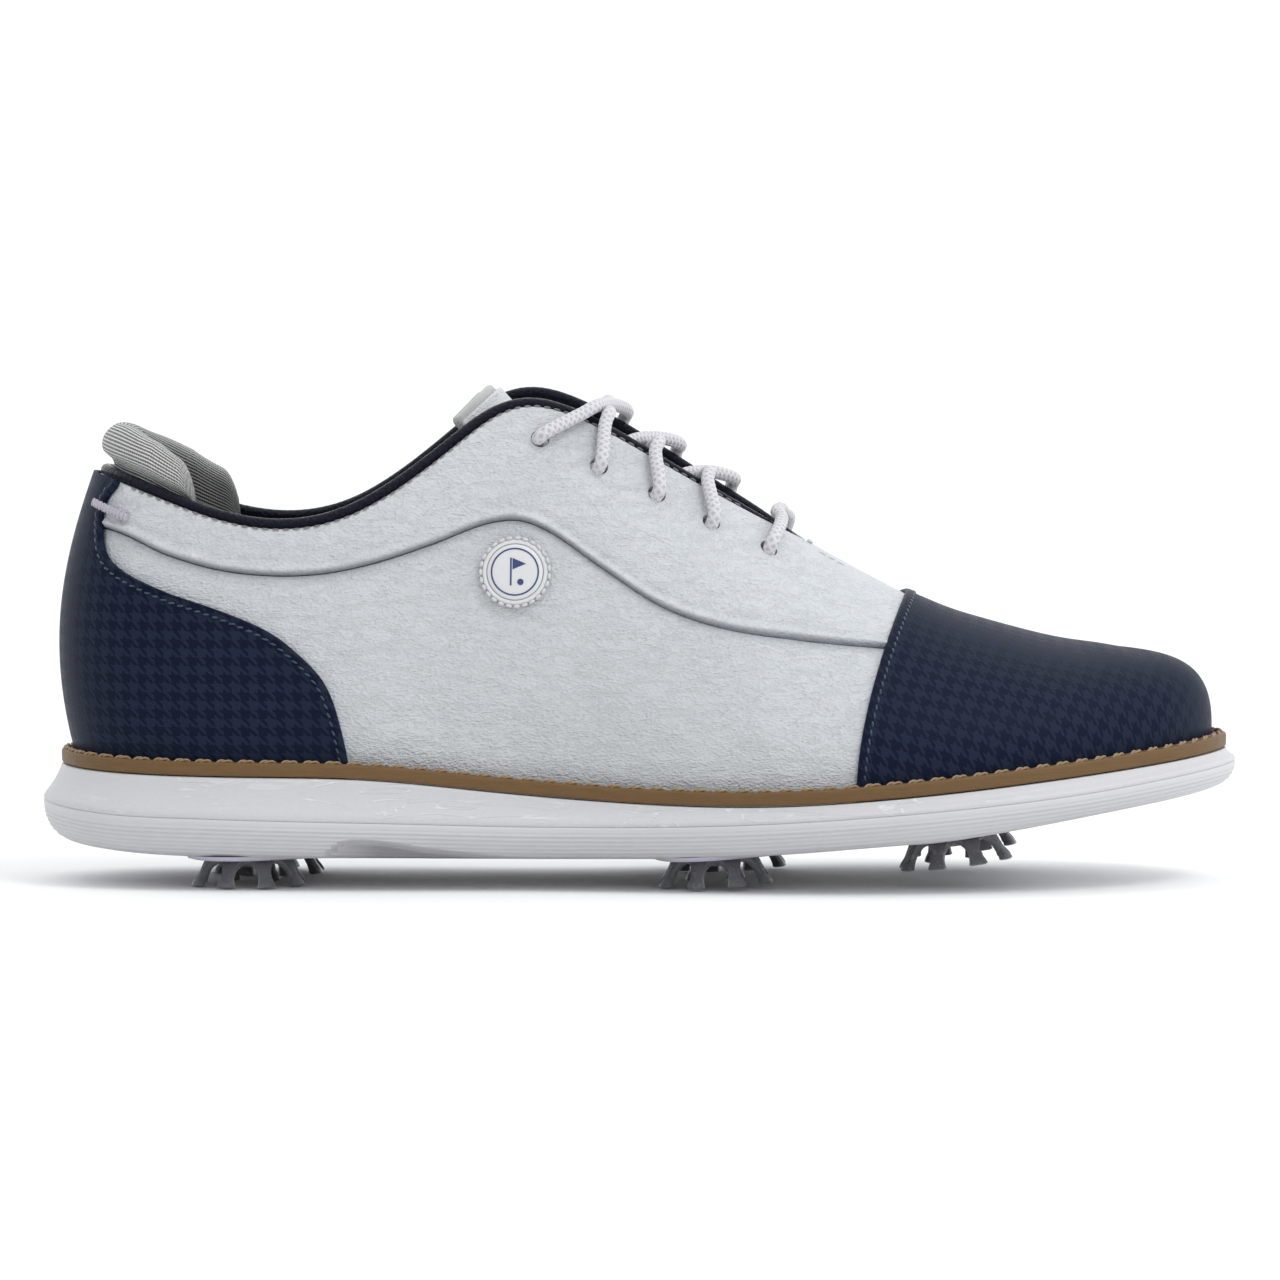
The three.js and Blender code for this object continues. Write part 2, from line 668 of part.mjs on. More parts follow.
// The socket moulded into the outsole: a lip with three slots that the cleat's lugs turn behind.
function socket(place) {
  const body = rod(SOCKET.radius, SOCKET.height, 16);
  body.translate(0, 0, SOCKET.height / 2);
  const chamber = rod(SOCKET.bore, SOCKET.floor - SOCKET.lip, 12);
  chamber.translate(0, 0, (SOCKET.floor + SOCKET.lip) / 2);
  const mouth = rod(SOCKET.mouth, SOCKET.lip + 2, 12);
  mouth.translate(0, 0, (SOCKET.lip - 1) / 2 + 0.5);
  const tools = [chamber, mouth];
  for (let i = 0; i < LUG.count; i++) {
    const slot = new THREE.BoxGeometry(SOCKET.bore, SOCKET.slotWidth, SOCKET.lip + 2);
    slot.translate(SOCKET.bore / 2, 0, (SOCKET.lip - 1) / 2 + 0.5);
    slot.rotateZ((2 * Math.PI * (i + 0.5)) / LUG.count);
    tools.push(slot);
  }
  return atCleat(place, subtract(body, ...tools));
}

// ---------------------------------------------------------------- upper

const LEATHER_END = CAP_RIB + CAP_OVERLAP;

// The saddle's lower edge, moved up by a distance.
function saddleLine(distance) {
  return moved([SADDLE_LINE_ENDS.back, ...SADDLE_LINE, SADDLE_LINE_ENDS.front], distance);
}

function aboveSaddle(margin) {
  return crossBlock([...saddleLine(margin), [SADDLE_LINE_ENDS.front[0], ABOVE_Z], [BACK_X, ABOVE_Z]]);
}

function belowSaddle(margin, from, to) {
  return crossBlock([...saddleLine(-margin), [SADDLE_LINE_ENDS.front[0], 0], [BACK_X, 0]], from, to);
}

// Everything to the rear of a side-view edge.
function behind(edge, margin) {
  const top = edge[0][1];
  const bottom = edge[edge.length - 1][1];
  return crossBlock([[BACK_X, top], ...moved(edge, margin), [BACK_X, bottom]]);
}

function eyeletPunches(side) {
  return EYELETS.map((_, i) => {
    const [s, v] = eyeletSpot(i, side);
    const hole = rod(EYELET_RADIUS, 12, 8);
    const turn = new THREE.Quaternion().setFromUnitVectors(new THREE.Vector3(0, 0, 1), surfaceNormal(s, v));
    hole.applyQuaternion(turn);
    const centre = surface(s, v);
    hole.translate(centre.x, centre.y, centre.z);
    return hole;
  });
}

function eyeletSpot(i, side) {
  const [x, z] = EYELETS[i];
  const shift = side > 0 ? MEDIAL_EYELET_SHIFT : { x: 0, z: 0 };
  return locate(x + shift.x, z + shift.z, side);
}

const PUNCHES = [...eyeletPunches(-1), ...eyeletPunches(1)];

function saddle() {
  const shell = upperSheet(-LEATHER_END, LEATHER_END, LAYER.saddle);
  const cut = intersect(shell, aboveSaddle(GAP / 2));
  return subtract(cut, behind(COUNTER_EDGE, GAP), ...PUNCHES);
}

function quarterBase(side) {
  const shell = upperSheet(-LEATHER_END, LEATHER_END, LAYER.leather);
  const half = side < 0 ? [-90, -GAP / 2] : [GAP / 2, 90];
  return subtract(intersect(shell, belowSaddle(GAP / 2, ...half)), behind(COUNTER_EDGE, GAP));
}

function heelCounter() {
  return intersect(upperSheet(-7, 7, LAYER.leather), behind(COUNTER_EDGE, 0));
}

function heelCover() {
  return intersect(upperSheet(-7, 7, LAYER.cover), behind(HEEL_COVER_EDGE, 0));
}

function toePuff() {
  return upperSheet(LEATHER_END + 0.03, 2 * TOE_RIB - LEATHER_END - 0.03, LAYER.leather);
}

function toeCap() {
  return upperSheet(CAP_RIB, 2 * TOE_RIB - CAP_RIB, LAYER.cover);
}

function liningShell() {
  return upperSheet(0, 2 * TOE_RIB, LAYER.lining);
}

function quarterLining() {
  const rear = [[BACK_X, ABOVE_Z], ...moved(LINING_SEAM, -GAP / 2), [BACK_X, 0]];
  return subtract(intersect(liningShell(), crossBlock(rear)), ...PUNCHES);
}

function vampLining() {
  const front = [[FRONT_X, ABOVE_Z], ...moved(LINING_SEAM, GAP / 2), [FRONT_X, 0]];
  return subtract(intersect(liningShell(), crossBlock(front)), ...PUNCHES);
}

// Points along the open edge from the throat round the heel and back to the throat.
function openEdge() {
  const stops = STOPS.filter((r) => r <= THROAT_RIB + 1e-6);
  return [...stops.slice(1).reverse(), ...stops.slice(0, -1).map((r) => -r)];
}

function binding() {
  const stops = openEdge();
  const depth = (LAYER.saddle[0] + LAYER.lining[1]) / 2;
  const edge = stops.map((s) => layerPoint(s, 1, depth));
  const points = edge.map((p, i) => {
    const before = edge[(i + edge.length - 1) % edge.length];
    const after = edge[(i + 1) % edge.length];
    const forward = after.clone().sub(before);
    const away = forward.cross(surfaceNormal(stops[i], 1)).normalize();
    return p.clone().addScaledVector(away, BINDING_RADIUS + GAP + 0.4);
  });
  const path = new THREE.CatmullRomCurve3(points, true, "centripetal");
  return tube(path, BINDING_RADIUS, 6, 72);
}

// Padded collar roll at the heel, thinning out toward the tip of each wing.
function heelPad() {
  const steps = 16;
  const points = [];
  const faces = [];
  const n = PAD_SECTION.length;
  for (let i = 0; i <= steps; i++) {
    const s = PAD_LATERAL_RIB - ((PAD_LATERAL_RIB + PAD_MEDIAL_RIB) * i) / steps;
    const full = Math.min(1, PAD_TIP + 0.2 * Math.min(i, steps - i));
    const edge = layerPoint(s, 1, 0);
    const out = outward(s);
    for (const [away, up] of PAD_SECTION) {
      const inside = PAD_SECTION[0][0] + (away - PAD_SECTION[0][0]) * full;
      const height = up * (0.4 + 0.6 * full);
      points.push(edge.clone().addScaledVector(out, inside).add(new THREE.Vector3(0, 0, height)));
    }
  }
  for (let i = 0; i < steps; i++) {
    for (let k = 0; k < n; k++) {
      const a = i * n + k;
      const b = i * n + ((k + 1) % n);
      faces.push([a, b + n, a + n], [a, b, b + n]);
    }
  }
  for (let k = 1; k < n - 1; k++) {
    const end = steps * n;
    faces.push([0, k + 1, k], [end, end + k, end + k + 1]);
  }
  return meshFrom(points, faces);
}

// ---------------------------------------------------------------- tongue

function tonguePoint(t, a, height) {
  const i = Math.min(TONGUE.length - 2, Math.floor(t));
  const f = t - i;
  const mix = (key) => TONGUE[i][key] * (1 - f) + TONGUE[i + 1][key] * f;
  const before = TONGUE[Math.max(0, Math.round(t) - 1)];
  const after = TONGUE[Math.min(TONGUE.length - 1, Math.round(t) + 1)];
  const up = new THREE.Vector3(after.z - before.z, 0, before.x - after.x).normalize();
  const angle = (a * mix("half")) / mix("radius");
  const radius = mix("radius");
  const point = new THREE.Vector3(mix("x"), mix("y"), mix("z"));
  point.addScaledVector(up, radius * (Math.cos(angle) - 1) + height * Math.cos(angle));
  point.y += (radius + height) * Math.sin(angle);
  return point;
}

function tongueLayer(layer) {
  const lengthwise = TONGUE.map((_, i) => i);
  const across = [1, 0.66, 0.33, 0, -0.33, -0.66, -1];
  return sheet(tonguePoint, lengthwise, across, layer);
}

// ---------------------------------------------------------------- lace

const OVER = LAYER.saddle[0] + LACE_RADIUS + 0.4;
const UNDER = LAYER.lining[1] - LACE_RADIUS - 0.4;
const UNDER_EDGE = UNDER - GAP;

// A place in eyelet i at a height over the reference surface.
function holePoint(i, side, height) {
  const [s, v] = eyeletSpot(i, side);
  return layerPoint(s, v, height);
}

// A place by the lacing edge at x: a distance from the edge into the gap, and a height.
function edgePoint(x, side, away, height) {
  const r = bisect((q) => topX(q) - x, 0, THROAT_RIB);
  const s = -side * r;
  const n = surfaceNormal(s, 1);
  const run = surface(s + 0.01, 1).sub(surface(s - 0.01, 1)).multiplyScalar(-side);
  const inward = run.cross(n).normalize();
  if (inward.y * side > 0) inward.negate();
  return surface(s, 1).addScaledVector(n, height).addScaledVector(inward, away);
}

// Over one edge, between the edges and over or under the other one.
function crossing(side, fromX, toX, toUnder, lift) {
  const start = [edgePoint(fromX, side, -0.5, OVER + 0.4), edgePoint(fromX, side, 3.1, 2.2)];
  const end = toUnder
    ? [edgePoint(toX, -side, 3.2, -4.4), edgePoint(toX, -side, -1.5, UNDER_EDGE)]
    : [edgePoint(toX, -side, 3.1, 2.2), edgePoint(toX, -side, -0.5, OVER + 0.4)];
  const middle = start[1].clone().lerp(end[0], 0.5);
  middle.z += lift;
  return [...start, middle, ...end];
}

// Across the gap under both edges.
function hiddenCrossing(side, fromX, toX, lift) {
  const start = edgePoint(fromX, side, -1, UNDER_EDGE);
  const end = edgePoint(toX, -side, -1, UNDER_EDGE);
  const middle = start.clone().lerp(end, 0.5);
  middle.z += lift;
  return [start, middle, end];
}

function through(i, side, outThenIn) {
  const pass = [holePoint(i, side, UNDER), holePoint(i, side, OVER)];
  return outThenIn ? pass : pass.reverse();
}

// The tucked end: down the lining from the top eyelet and forward along the edge of the footbed.
function tuckedEnd(side) {
  const [s, v] = eyeletSpot(0, side);
  const down = [0.85, 0.65, 0.5, 0.38].map((share) => layerPoint(s - side * 0.1, v * share, UNDER - 0.6));
  const forward = [6.6, 7.2, 7.8, 8.4, 9].map((r) => {
    const p = layerPoint(-side * r, 0.3, UNDER - 1.5);
    p.z = footbedTop(p.x) + LACE_RADIUS + 0.5;
    return p;
  });
  return [...down, ...forward];
}

function lacePoints() {
  const L = -1;
  const M = 1;
  return [
    ...tuckedEnd(L).reverse(),
    ...through(0, L, true), ...crossing(L, -15, -4.5, false, 1.2), ...through(1, M, false),
    ...crossing(L, 2.9, 1.5, true, -1.2).reverse(), ...through(2, L, false),
    ...crossing(M, 20.9, 10.4, true, 1.6).reverse(), ...through(3, M, false),
    ...hiddenCrossing(M, 22, 27, -0.8), ...through(4, L, true),
    ...crossing(L, 32, 34, false, 1), ...through(4, M, false),
    ...hiddenCrossing(M, 29, 20, 2.6), ...through(3, L, true),
    ...crossing(L, 14.9, 12.5, true, -1.2), ...through(2, M, true),
    ...crossing(M, 7.9, -2.2, true, 1.6), ...through(1, L, true),
    ...crossing(L, -8.6, -9, false, -1.6), ...through(0, M, false),
    ...tuckedEnd(M),
  ];
}

function lace() {
  const points = lacePoints();
  return tube(new Route(points), LACE_RADIUS, 8, points.length - 1);
}

// The moulded tip that continues one end of the lace.
function aglet(side) {
  const points = tuckedEnd(side);
  const end = points[points.length - 1];
  const direction = end.clone().sub(points[points.length - 2]).normalize();
  const body = rod(AGLET.radius, AGLET.length, 8);
  body.translate(0, 0, AGLET.length / 2 + GAP);
  body.applyQuaternion(new THREE.Quaternion().setFromUnitVectors(new THREE.Vector3(0, 0, 1), direction));
  body.translate(end.x, end.y, end.z);
  return body;
}

function badge(part) {
  const [s, v] = locate(BADGE.x, BADGE.z, -1);
  const turn = new THREE.Quaternion().setFromUnitVectors(new THREE.Vector3(0, 0, 1), surfaceNormal(s, v));
  const centre = layerPoint(s, v, 0);
  const body = part === "ring"
    ? subtract(rod(BADGE.radius, BADGE.height, 28), rod(BADGE.ring, BADGE.height + 2, 24))
    : rod(BADGE.disc, BADGE.discHeight, 24);
  body.translate(0, 0, BADGE.lift + BADGE.height / 2);
  body.applyQuaternion(turn);
  body.translate(centre.x, centre.y, centre.z);
  return body;
}

// ---------------------------------------------------------------- assembly

const PARTS = [
  ["outsole", outsole, "sole", 0.55, 0],
  ["midsole", midsole, "sole", 0.6, 0],
  ["welt", welt, "tan", 0.6, 0],
  ["shank", () => shankStrip(0), "steel", 0.4, 0.9],
  ["insole_board", insoleBoard, "board", 0.9, 0],
  ["footbed", footbed, "grey", 0.9, 0],
  ["saddle", saddle, "white", 0.5, 0],
  ["quarter_lateral", () => quarterBase(-1), "white", 0.5, 0],
  ["quarter_medial", () => quarterBase(1), "white", 0.5, 0],
  ["heel_counter", heelCounter, "board", 0.8, 0],
  ["toe_puff", toePuff, "board", 0.8, 0],
  ["heel_cover", heelCover, "navy", 0.5, 0],
  ["toe_cap", toeCap, "navy", 0.5, 0],
  ["quarter_lining", quarterLining, "liner", 0.9, 0],
  ["vamp_lining", vampLining, "liner", 0.9, 0],
  ["collar_binding", binding, "binding", 0.3, 0],
  ["heel_pad", heelPad, "grey", 0.9, 0],
  ["tongue_face", () => tongueLayer(TONGUE_LAYERS.face), "white", 0.5, 0],
  ["tongue_foam", () => tongueLayer(TONGUE_LAYERS.foam), "grey", 0.9, 0],
  ["tongue_lining", () => tongueLayer(TONGUE_LAYERS.lining), "liner", 0.9, 0],
  ["lace", lace, "lace", 0.8, 0],
  ["aglet_lateral", () => aglet(-1), "lace", 0.3, 0],
  ["aglet_medial", () => aglet(1), "lace", 0.3, 0],
  ["badge_ring", () => badge("ring"), "white", 0.35, 0],
  ["badge_disc", () => badge("disc"), "white", 0.35, 0],
  ...CLEATS.map((place) => [`socket_${place.name}`, () => socket(place), "socket", 0.5, 0]),
  ...CLEATS.map((place) => [`cleat_${place.name}`, () => cleat(place), "cleat", 0.3, 0]),
];

const shoe = new THREE.Group();
shoe.name = "golf_shoe";
for (const [name, make, color, roughness, metalness] of PARTS) {
  const material = new THREE.MeshStandardMaterial({ color: COLOR[color], roughness, metalness });
  const mesh = new THREE.Mesh(make(), material);
  mesh.name = name;
  shoe.add(mesh);
}

// The finished shoe stands on the floor with the middle of its box over the origin.
const box = new THREE.Box3().setFromObject(shoe);
const centre = box.getCenter(new THREE.Vector3());
for (const mesh of shoe.children) mesh.geometry.translate(-centre.x, -centre.y, -box.min.z);

export default shoe;
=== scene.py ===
"""The look of the golf shoe: fine skins, stitching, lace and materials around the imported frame.

Shapes are worked out in millimetres on the same ribbed surface as the CAD upper, and stored in metres.
"""
import math

import bmesh
import bpy
import numpy as np
from mathutils import Matrix, Vector


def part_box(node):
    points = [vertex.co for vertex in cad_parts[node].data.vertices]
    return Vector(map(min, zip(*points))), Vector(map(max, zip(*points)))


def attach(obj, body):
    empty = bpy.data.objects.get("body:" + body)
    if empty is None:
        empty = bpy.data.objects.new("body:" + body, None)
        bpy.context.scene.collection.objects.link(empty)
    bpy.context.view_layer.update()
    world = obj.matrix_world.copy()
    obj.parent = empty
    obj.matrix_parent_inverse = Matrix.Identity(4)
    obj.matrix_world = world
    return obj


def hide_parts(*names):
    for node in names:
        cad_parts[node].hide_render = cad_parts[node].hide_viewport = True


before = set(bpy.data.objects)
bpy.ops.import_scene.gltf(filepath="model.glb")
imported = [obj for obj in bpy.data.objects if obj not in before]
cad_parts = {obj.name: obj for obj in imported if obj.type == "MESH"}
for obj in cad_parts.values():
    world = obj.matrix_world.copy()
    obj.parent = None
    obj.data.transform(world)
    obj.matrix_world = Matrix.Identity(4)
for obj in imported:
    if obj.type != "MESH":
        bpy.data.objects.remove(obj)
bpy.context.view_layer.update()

MM = 0.001

# ---------------------------------------------------------------- driving dimensions, in millimetres

# foot x, lateral y, medial y, z | top x, half gap, z | lift, side, rise, bulge, reach, drop
RIBS = [
    (-130.4, 0, 0, 31.2, -126.4, 0, 95.8, 0, 0, 25, 7, 9, 25),
    (-125, 17.2, 17.2, 30.8, -121.6, 15, 94.4, 0, 0, 24, 6, 7, 23),
    (-111, 26.6, 26.2, 30.2, -109.5, 23.8, 90, 0, 0, 21, 5, 4.5, 19),
    (-89, 31, 29.5, 29.9, -90, 27, 84.2, 0, 0, 19, 3.5, 3, 16),
    (-63, 31.3, 28.3, 29.3, -66, 26.3, 87.2, 0.3, 0, 20, 2.5, 3, 18),
    (-36, 31, 26, 26.8, -42, 22, 103.3, 1.2, 0, 24, 2.5, 6, 24),
    (-10, 33, 27, 24.7, -22, 15.5, 111.6, 2, 0.3, 28, 2.5, 14, 22),
    (14, 37.8, 32, 23.7, 6, 12.5, 98.2, 1.8, 1, 27, 3, 18, 16),
    (33, 41.4, 36.2, 23.9, 32, 9.5, 83.4, 0.8, 2, 25, 3.2, 21, 8),
    (50, 43.2, 39.4, 25, 62.5, 7, 66.8, 0, 3.5, 22, 3, 24, 3),
    (71, 42.4, 41.2, 27, 80, 5, 60, 0, 5, 18, 2.5, 24, 0),
    (93, 37, 39, 29.5, 96, 4, 55.8, 0, 5.5, 16, 2.2, 22, 0),
    (111, 27.8, 32.6, 31.6, 106, 3, 54.2, 0, 5, 15, 2, 18, 0),
    (125, 16, 22.6, 33.4, 111.2, 2, 53.4, 0, 4.5, 16, 1.8, 17, 0),
    (133.2, -3.5, 3.5, 34.6, 112.5, 0, 53.2, 0, 4.3, 17, 1.6, 17, 0),
]
TOE_RIB = len(RIBS) - 1
CAP_RIB = 9
LEATHER_END = 9.42
THROAT_START_X = 24
THROAT_END_X = 39
PULL_EASE = 4
THROAT_REACH = 5
WELT_HEIGHT = 3.2
WELT_OUT = 5.2
GAP = 0.3
SADDLE_GROOVE = 0.3

COVER = (1.6, 0.7)
SADDLE = (0.4, -1.2)
QUARTER = (0.0, -1.2)
LINING = (-1.5, -2.6)

SADDLE_LINE = [
    (-170, 84), (-124, 83.4), (-109, 77.5), (-97, 74.2), (-85, 72.9), (-73.5, 73.3), (-61.7, 75.6),
    (-48.6, 79.8), (-35, 84.9), (-28, 85.6), (-21.3, 83.3), (-8, 74.3), (5.6, 65.7), (18.5, 61.2),
    (37, 58.1), (54.7, 56.2), (90, 53),
]
HEEL_COVER_EDGE = [
    (-118, 99), (-120.5, 93), (-123.2, 89.3), (-124, 84), (-123, 77.4), (-120, 74.1), (-109, 68.8),
    (-97, 64.8), (-85.2, 59.7), (-78.1, 54.2), (-73.4, 49.2), (-70.9, 44.5), (-68, 34.2), (-66.5, 26),
]
COUNTER_EDGE = [
    (-129.5, 84), (-128, 76), (-122, 67), (-110, 61), (-98, 57), (-88, 51.5), (-81, 44.5), (-77.5, 36),
    (-75, 26),
]
LINING_SEAM = [(34, 90), (24, 60), (30, 40), (40, 10)]

SHOULDER_OUT = [(-131, 9.6), (-100, 8), (-40, 7.2), (40, 7.2), (100, 7.2), (134, 7.4)]
SHOULDER_Z = [
    (-135, 20), (-118, 17.6), (-100, 17), (-60, 16), (-20, 15.2), (20, 16), (60, 18.8), (100, 23),
    (135, 28.3),
]
BOTTOM_Z = [
    (-140, 10.5), (-123, 8.6), (-105, 7.7), (-60, 7.3), (-20, 7.2), (20, 8.1), (55, 10.8), (75, 12.6),
    (110, 18), (137, 22),
]

CLEATS = {
    "heel_lateral": (-91, -17, 0, 0),
    "heel_medial": (-88, 17, 0, 0),
    "ball_lateral": (18, -23, 0.62, 2.5),
    "ball_medial": (22, 23, 0.62, 2.5),
    "front_lateral": (74, -19, 5, 7),
    "front_medial": (77, 22, 5, 7),
}
CLEAT_DEPTH = 7.6
SOCKET_RADIUS = 8

EYELETS = [(-22.9, 104.1), (-9.3, 97.7), (4.1, 91.2), (16.8, 84.6), (30.2, 78.4)]
EYELET_RADIUS = 2.2
LACE_RADIUS = 1.55
LACE_STEP = 0.36
LACE_SIDES = 20
BRAID_PITCH = 1.5
BRAID_STRANDS = 4
BINDING_RADIUS = 1.3
BINDING_AWAY = 1.2
GATHER_PITCH = 1.75

# x, y, z, radius and half width of the tongue's arched cross-section.
TONGUE = [
    (49, 2.6, 67, 44, 12), (36, 2, 74, 34, 14), (20, 1.6, 82.6, 24, 17), (4, 1, 91.4, 21.5, 19),
    (-12, 0.5, 100.4, 18.5, 20), (-26, 0.2, 109.6, 17, 21), (-34.4, 0, 118, 16.5, 22),
    (-42.8, 0, 125.8, 16.5, 22),
]
# Where the full length ends, counted in these rows from 0.
TONGUE_LENGTH = 6

# Heel pad: section (out, up) from the collar edge.
PAD_SECTION = [
    (-3.6, -18), (-3.6, -1), (-3.1, 2.8), (-0.6, 5.6), (-1, 9), (-4, 11.6), (-8, 10.6), (-11, 5),
    (-11.6, -6), (-9.5, -15), (-6, -19),
]
RIB_PITCH = 0.85
# Distance round the section from its outer foot to where the inner face begins; the inner face is painted in
# shade.
PAD_INNER_SHADE_FROM = 33
PAD_LATERAL_RIB = 2.33
PAD_MEDIAL_RIB = 2.78
PAD_STEPS = 150
PAD_SIDES = 96

BADGE_X, BADGE_Z = -28.5, 73.5
# Radius and height pairs of the badge's ring, disc and printed line.
BADGE_RING = [(6.6, 0.75), (6.62, 1.3), (6.75, 1.42), (7.1, 1.46), (7.4, 1.4), (7.6, 1.2), (7.62, 0.75)]
BADGE_DISC = [(6.45, 0.75), (6.5, 1.3), (6.4, 1.55), (6.0, 1.74), (4.0, 1.84), (2.0, 1.88), (0.3, 1.89)]
BADGE_LINE = [(5.25, 1.65), (5.25, 1.86), (5.6, 1.85), (5.6, 1.65)]
BADGE_STITCH_RADIUS = 8
FLAG_POLE = [(-1.15, -3.2), (-0.75, -3.2), (-0.75, 3.3), (-1.15, 3.3)]
FLAG_PENNANT = [(-0.55, 3.25), (-0.55, 0.55), (2.6, 1.9)]
BALL_CENTRE = (1.35, -2.4)
BALL_RADIUS = 0.75
BADGE_SIDES = 96

# Stations down one cleat leg: distance from the axis, depth, width, thickness and lean of the section.
LEG = [
    (6.4, -1.3, 5.4, 1.7, 0.0), (8.4, -1.45, 6.0, 1.9, 0.15), (9.7, -2.3, 4.6, 2.0, 0.6),
    (10.6, -3.6, 3.2, 1.9, 1.0), (11.4, -5.1, 3.0, 1.9, 1.15), (12.2, -6.4, 3.9, 2.3, 1.25),
    (12.5, -7.1, 4.3, 2.6, 1.5),
]
LEG_COUNT = 8
LEG_SIDES = 14
HUB = [
    (9.1, -0.35), (9.5, -0.6), (9.4, -1.5), (8.9, -1.95), (7.6, -2.2), (6.4, -2.0), (5.4, -2.5), (4.2, -3.0),
    (2.6, -3.15), (1.2, -2.7),
]
POD = [(10.2, 0.25), (10.2, -0.75), (10.7, -0.95), (14.6, -0.85), (15.6, -0.6), (15.9, -0.2), (15.9, 0.25)]
POD_SIDES = 72

# Side wall of the outsole, as (inward, 0, share of the height), then its ribs and its scooped waist.
OUTSOLE_WALL = [(0, 0, 1), (0.15, 0, 0.8), (1.0, 0, 0.5), (2.8, 0, 0.24), (5.2, 0, 0.08), (8.5, 0, 0)]
WALL_RIB_PITCH = 1
WALL_RIB_DEPTH = 0.2
# Share of painted shade in the rib grooves.
WALL_RIB_SHADE = 0.2
SCOOP_HEIGHT = 6
SCOOP_DEPTH = 4.5
SCOOP_RIM = [
    (-73, 0), (-71.5, 0.4), (-69, 0.75), (-65, 0.86), (-59, 0.78), (-49, 0.52), (-36, 0.27), (-22, 0),
]

COVER_STITCH = {"length": 1.25, "gap": 0.85, "radius": 0.24, "slant": 0.2}
COVER_STITCH_INSET = 1.9
COVER_STITCH_HEIGHT = COVER[0] + 0.05
# The tack across the throat's end, and the two ends of its stitch rows.
THROAT_STITCHES = (40.2, 42.5, 49)

CHECK_REPEAT = 4.0
HATCH_PITCH = 0.45
KNIT_LOOP = 0.7
FOOTBED_WEAVE = 0.8976

FLOOR_RADIUS = 60
KEY_POWER = 7
SKY = 1.3
# The studio is brightest this way and dims toward the far side.
SKY_TOWARD = (0.48, 0.52, 0.70)
SKY_DIM = 0.3

# ---------------------------------------------------------------- camera and stage

CAMERA_DISTANCE = 1.8
CAMERA_HEIGHT = 0.155
AIM_HEIGHT = 0.0564
LENS = 215.7


def make_camera():
    data = bpy.data.cameras.new("camera")
    data.lens = LENS
    data.sensor_width = 36
    camera = bpy.data.objects.new("camera", data)
    camera.location = (0, -CAMERA_DISTANCE, CAMERA_HEIGHT)
    aim = Vector((0, 0, AIM_HEIGHT)) - camera.location
    camera.rotation_euler = aim.to_track_quat("-Z", "Y").to_euler()
    bpy.context.collection.objects.link(camera)
    bpy.context.scene.camera = camera


make_camera()

# Where the CAD model's own centring moved the shoe, read from a cleat.
low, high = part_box("cleat_heel_lateral")
SHIFT = np.array([
    (low.x + high.x) / 2 / MM - CLEATS["heel_lateral"][0],
    (low.y + high.y) / 2 / MM - CLEATS["heel_lateral"][1],
    0,
])

# ---------------------------------------------------------------- curves


def closed_spline(values):
    """Smooth closed curve through evenly spaced values."""
    y = np.array(values, float)
    n = len(y)
    rows = 4 * np.eye(n) + np.roll(np.eye(n), 1, 0) + np.roll(np.eye(n), -1, 0)
    bend = np.linalg.solve(rows, 6 * (np.roll(y, 1) - 2 * y + np.roll(y, -1)))

    def at(s):
        t = np.mod(s, n)
        i = np.floor(t).astype(int) % n
        f = t - np.floor(t)
        g = 1 - f
        j = (i + 1) % n
        return g * y[i] + f * y[j] + ((g**3 - g) * bend[i] + (f**3 - f) * bend[j]) / 6

    return at


def around_shoe(lateral, medial=None):
    """Values along the lateral side, then back along the medial side."""
    medial = medial or lateral
    return closed_spline([lateral(r) for r in RIBS] + [medial(r) for r in reversed(RIBS[1:-1])])


foot_x = around_shoe(lambda r: r[0])
foot_y = around_shoe(lambda r: -r[1], lambda r: r[2])
foot_z = around_shoe(lambda r: r[3] - WELT_HEIGHT)
top_x = around_shoe(lambda r: r[4])
top_gap = around_shoe(lambda r: -r[5], lambda r: r[5])
top_z = around_shoe(lambda r: r[6])
top_lift = around_shoe(lambda r: 0, lambda r: r[7])
ridge_y = around_shoe(lambda r: r[8])
rise = around_shoe(lambda r: r[9])
bulge = around_shoe(lambda r: r[10])
reach = around_shoe(lambda r: r[11])
drop = around_shoe(lambda r: r[12])


def along(points):
    """Smooth interpolation through (x, value) points."""
    px, py = np.array(points, float).T
    ends = np.arange(len(px))
    before = np.maximum(ends - 1, 0)
    after = np.minimum(ends + 1, len(px) - 1)
    slope = (py[after] - py[before]) / (px[after] - px[before])

    def at(x):
        i = np.clip(np.searchsorted(px, x, side="left") - 1, 0, len(px) - 2)
        w = px[i + 1] - px[i]
        t = np.clip((x - px[i]) / w, 0, 1)
        h = t * t * (3 - 2 * t)
        bend = slope[i] * t * (1 - t) ** 2 - slope[i + 1] * t * t * (1 - t)
        return py[i] + (py[i + 1] - py[i]) * h + w * bend

    return at


shoulder_out = along(SHOULDER_OUT)
shoulder_z = along(SHOULDER_Z)
bottom_z = along(BOTTOM_Z)


def bisect(f, low, high, rounds=34):
    """Where an increasing function crosses zero, for arrays too."""
    a = np.array(low, float)
    b = np.array(high, float)
    for _ in range(rounds):
        mid = (a + b) / 2
        below = f(mid) < 0
        a = np.where(below, mid, a)
        b = np.where(below, b, mid)
    return (a + b) / 2


def distances(line):
    """How far along a line each of its points is."""
    steps = np.linalg.norm(np.diff(line, axis=0), axis=-1)
    return np.concatenate([0 * steps[:1], np.cumsum(steps, 0)])


def sample(line, run, at):
    """The points of a line at given places, where run holds the place of each known point."""
    return np.stack([np.interp(at, run, column) for column in line.T], -1)


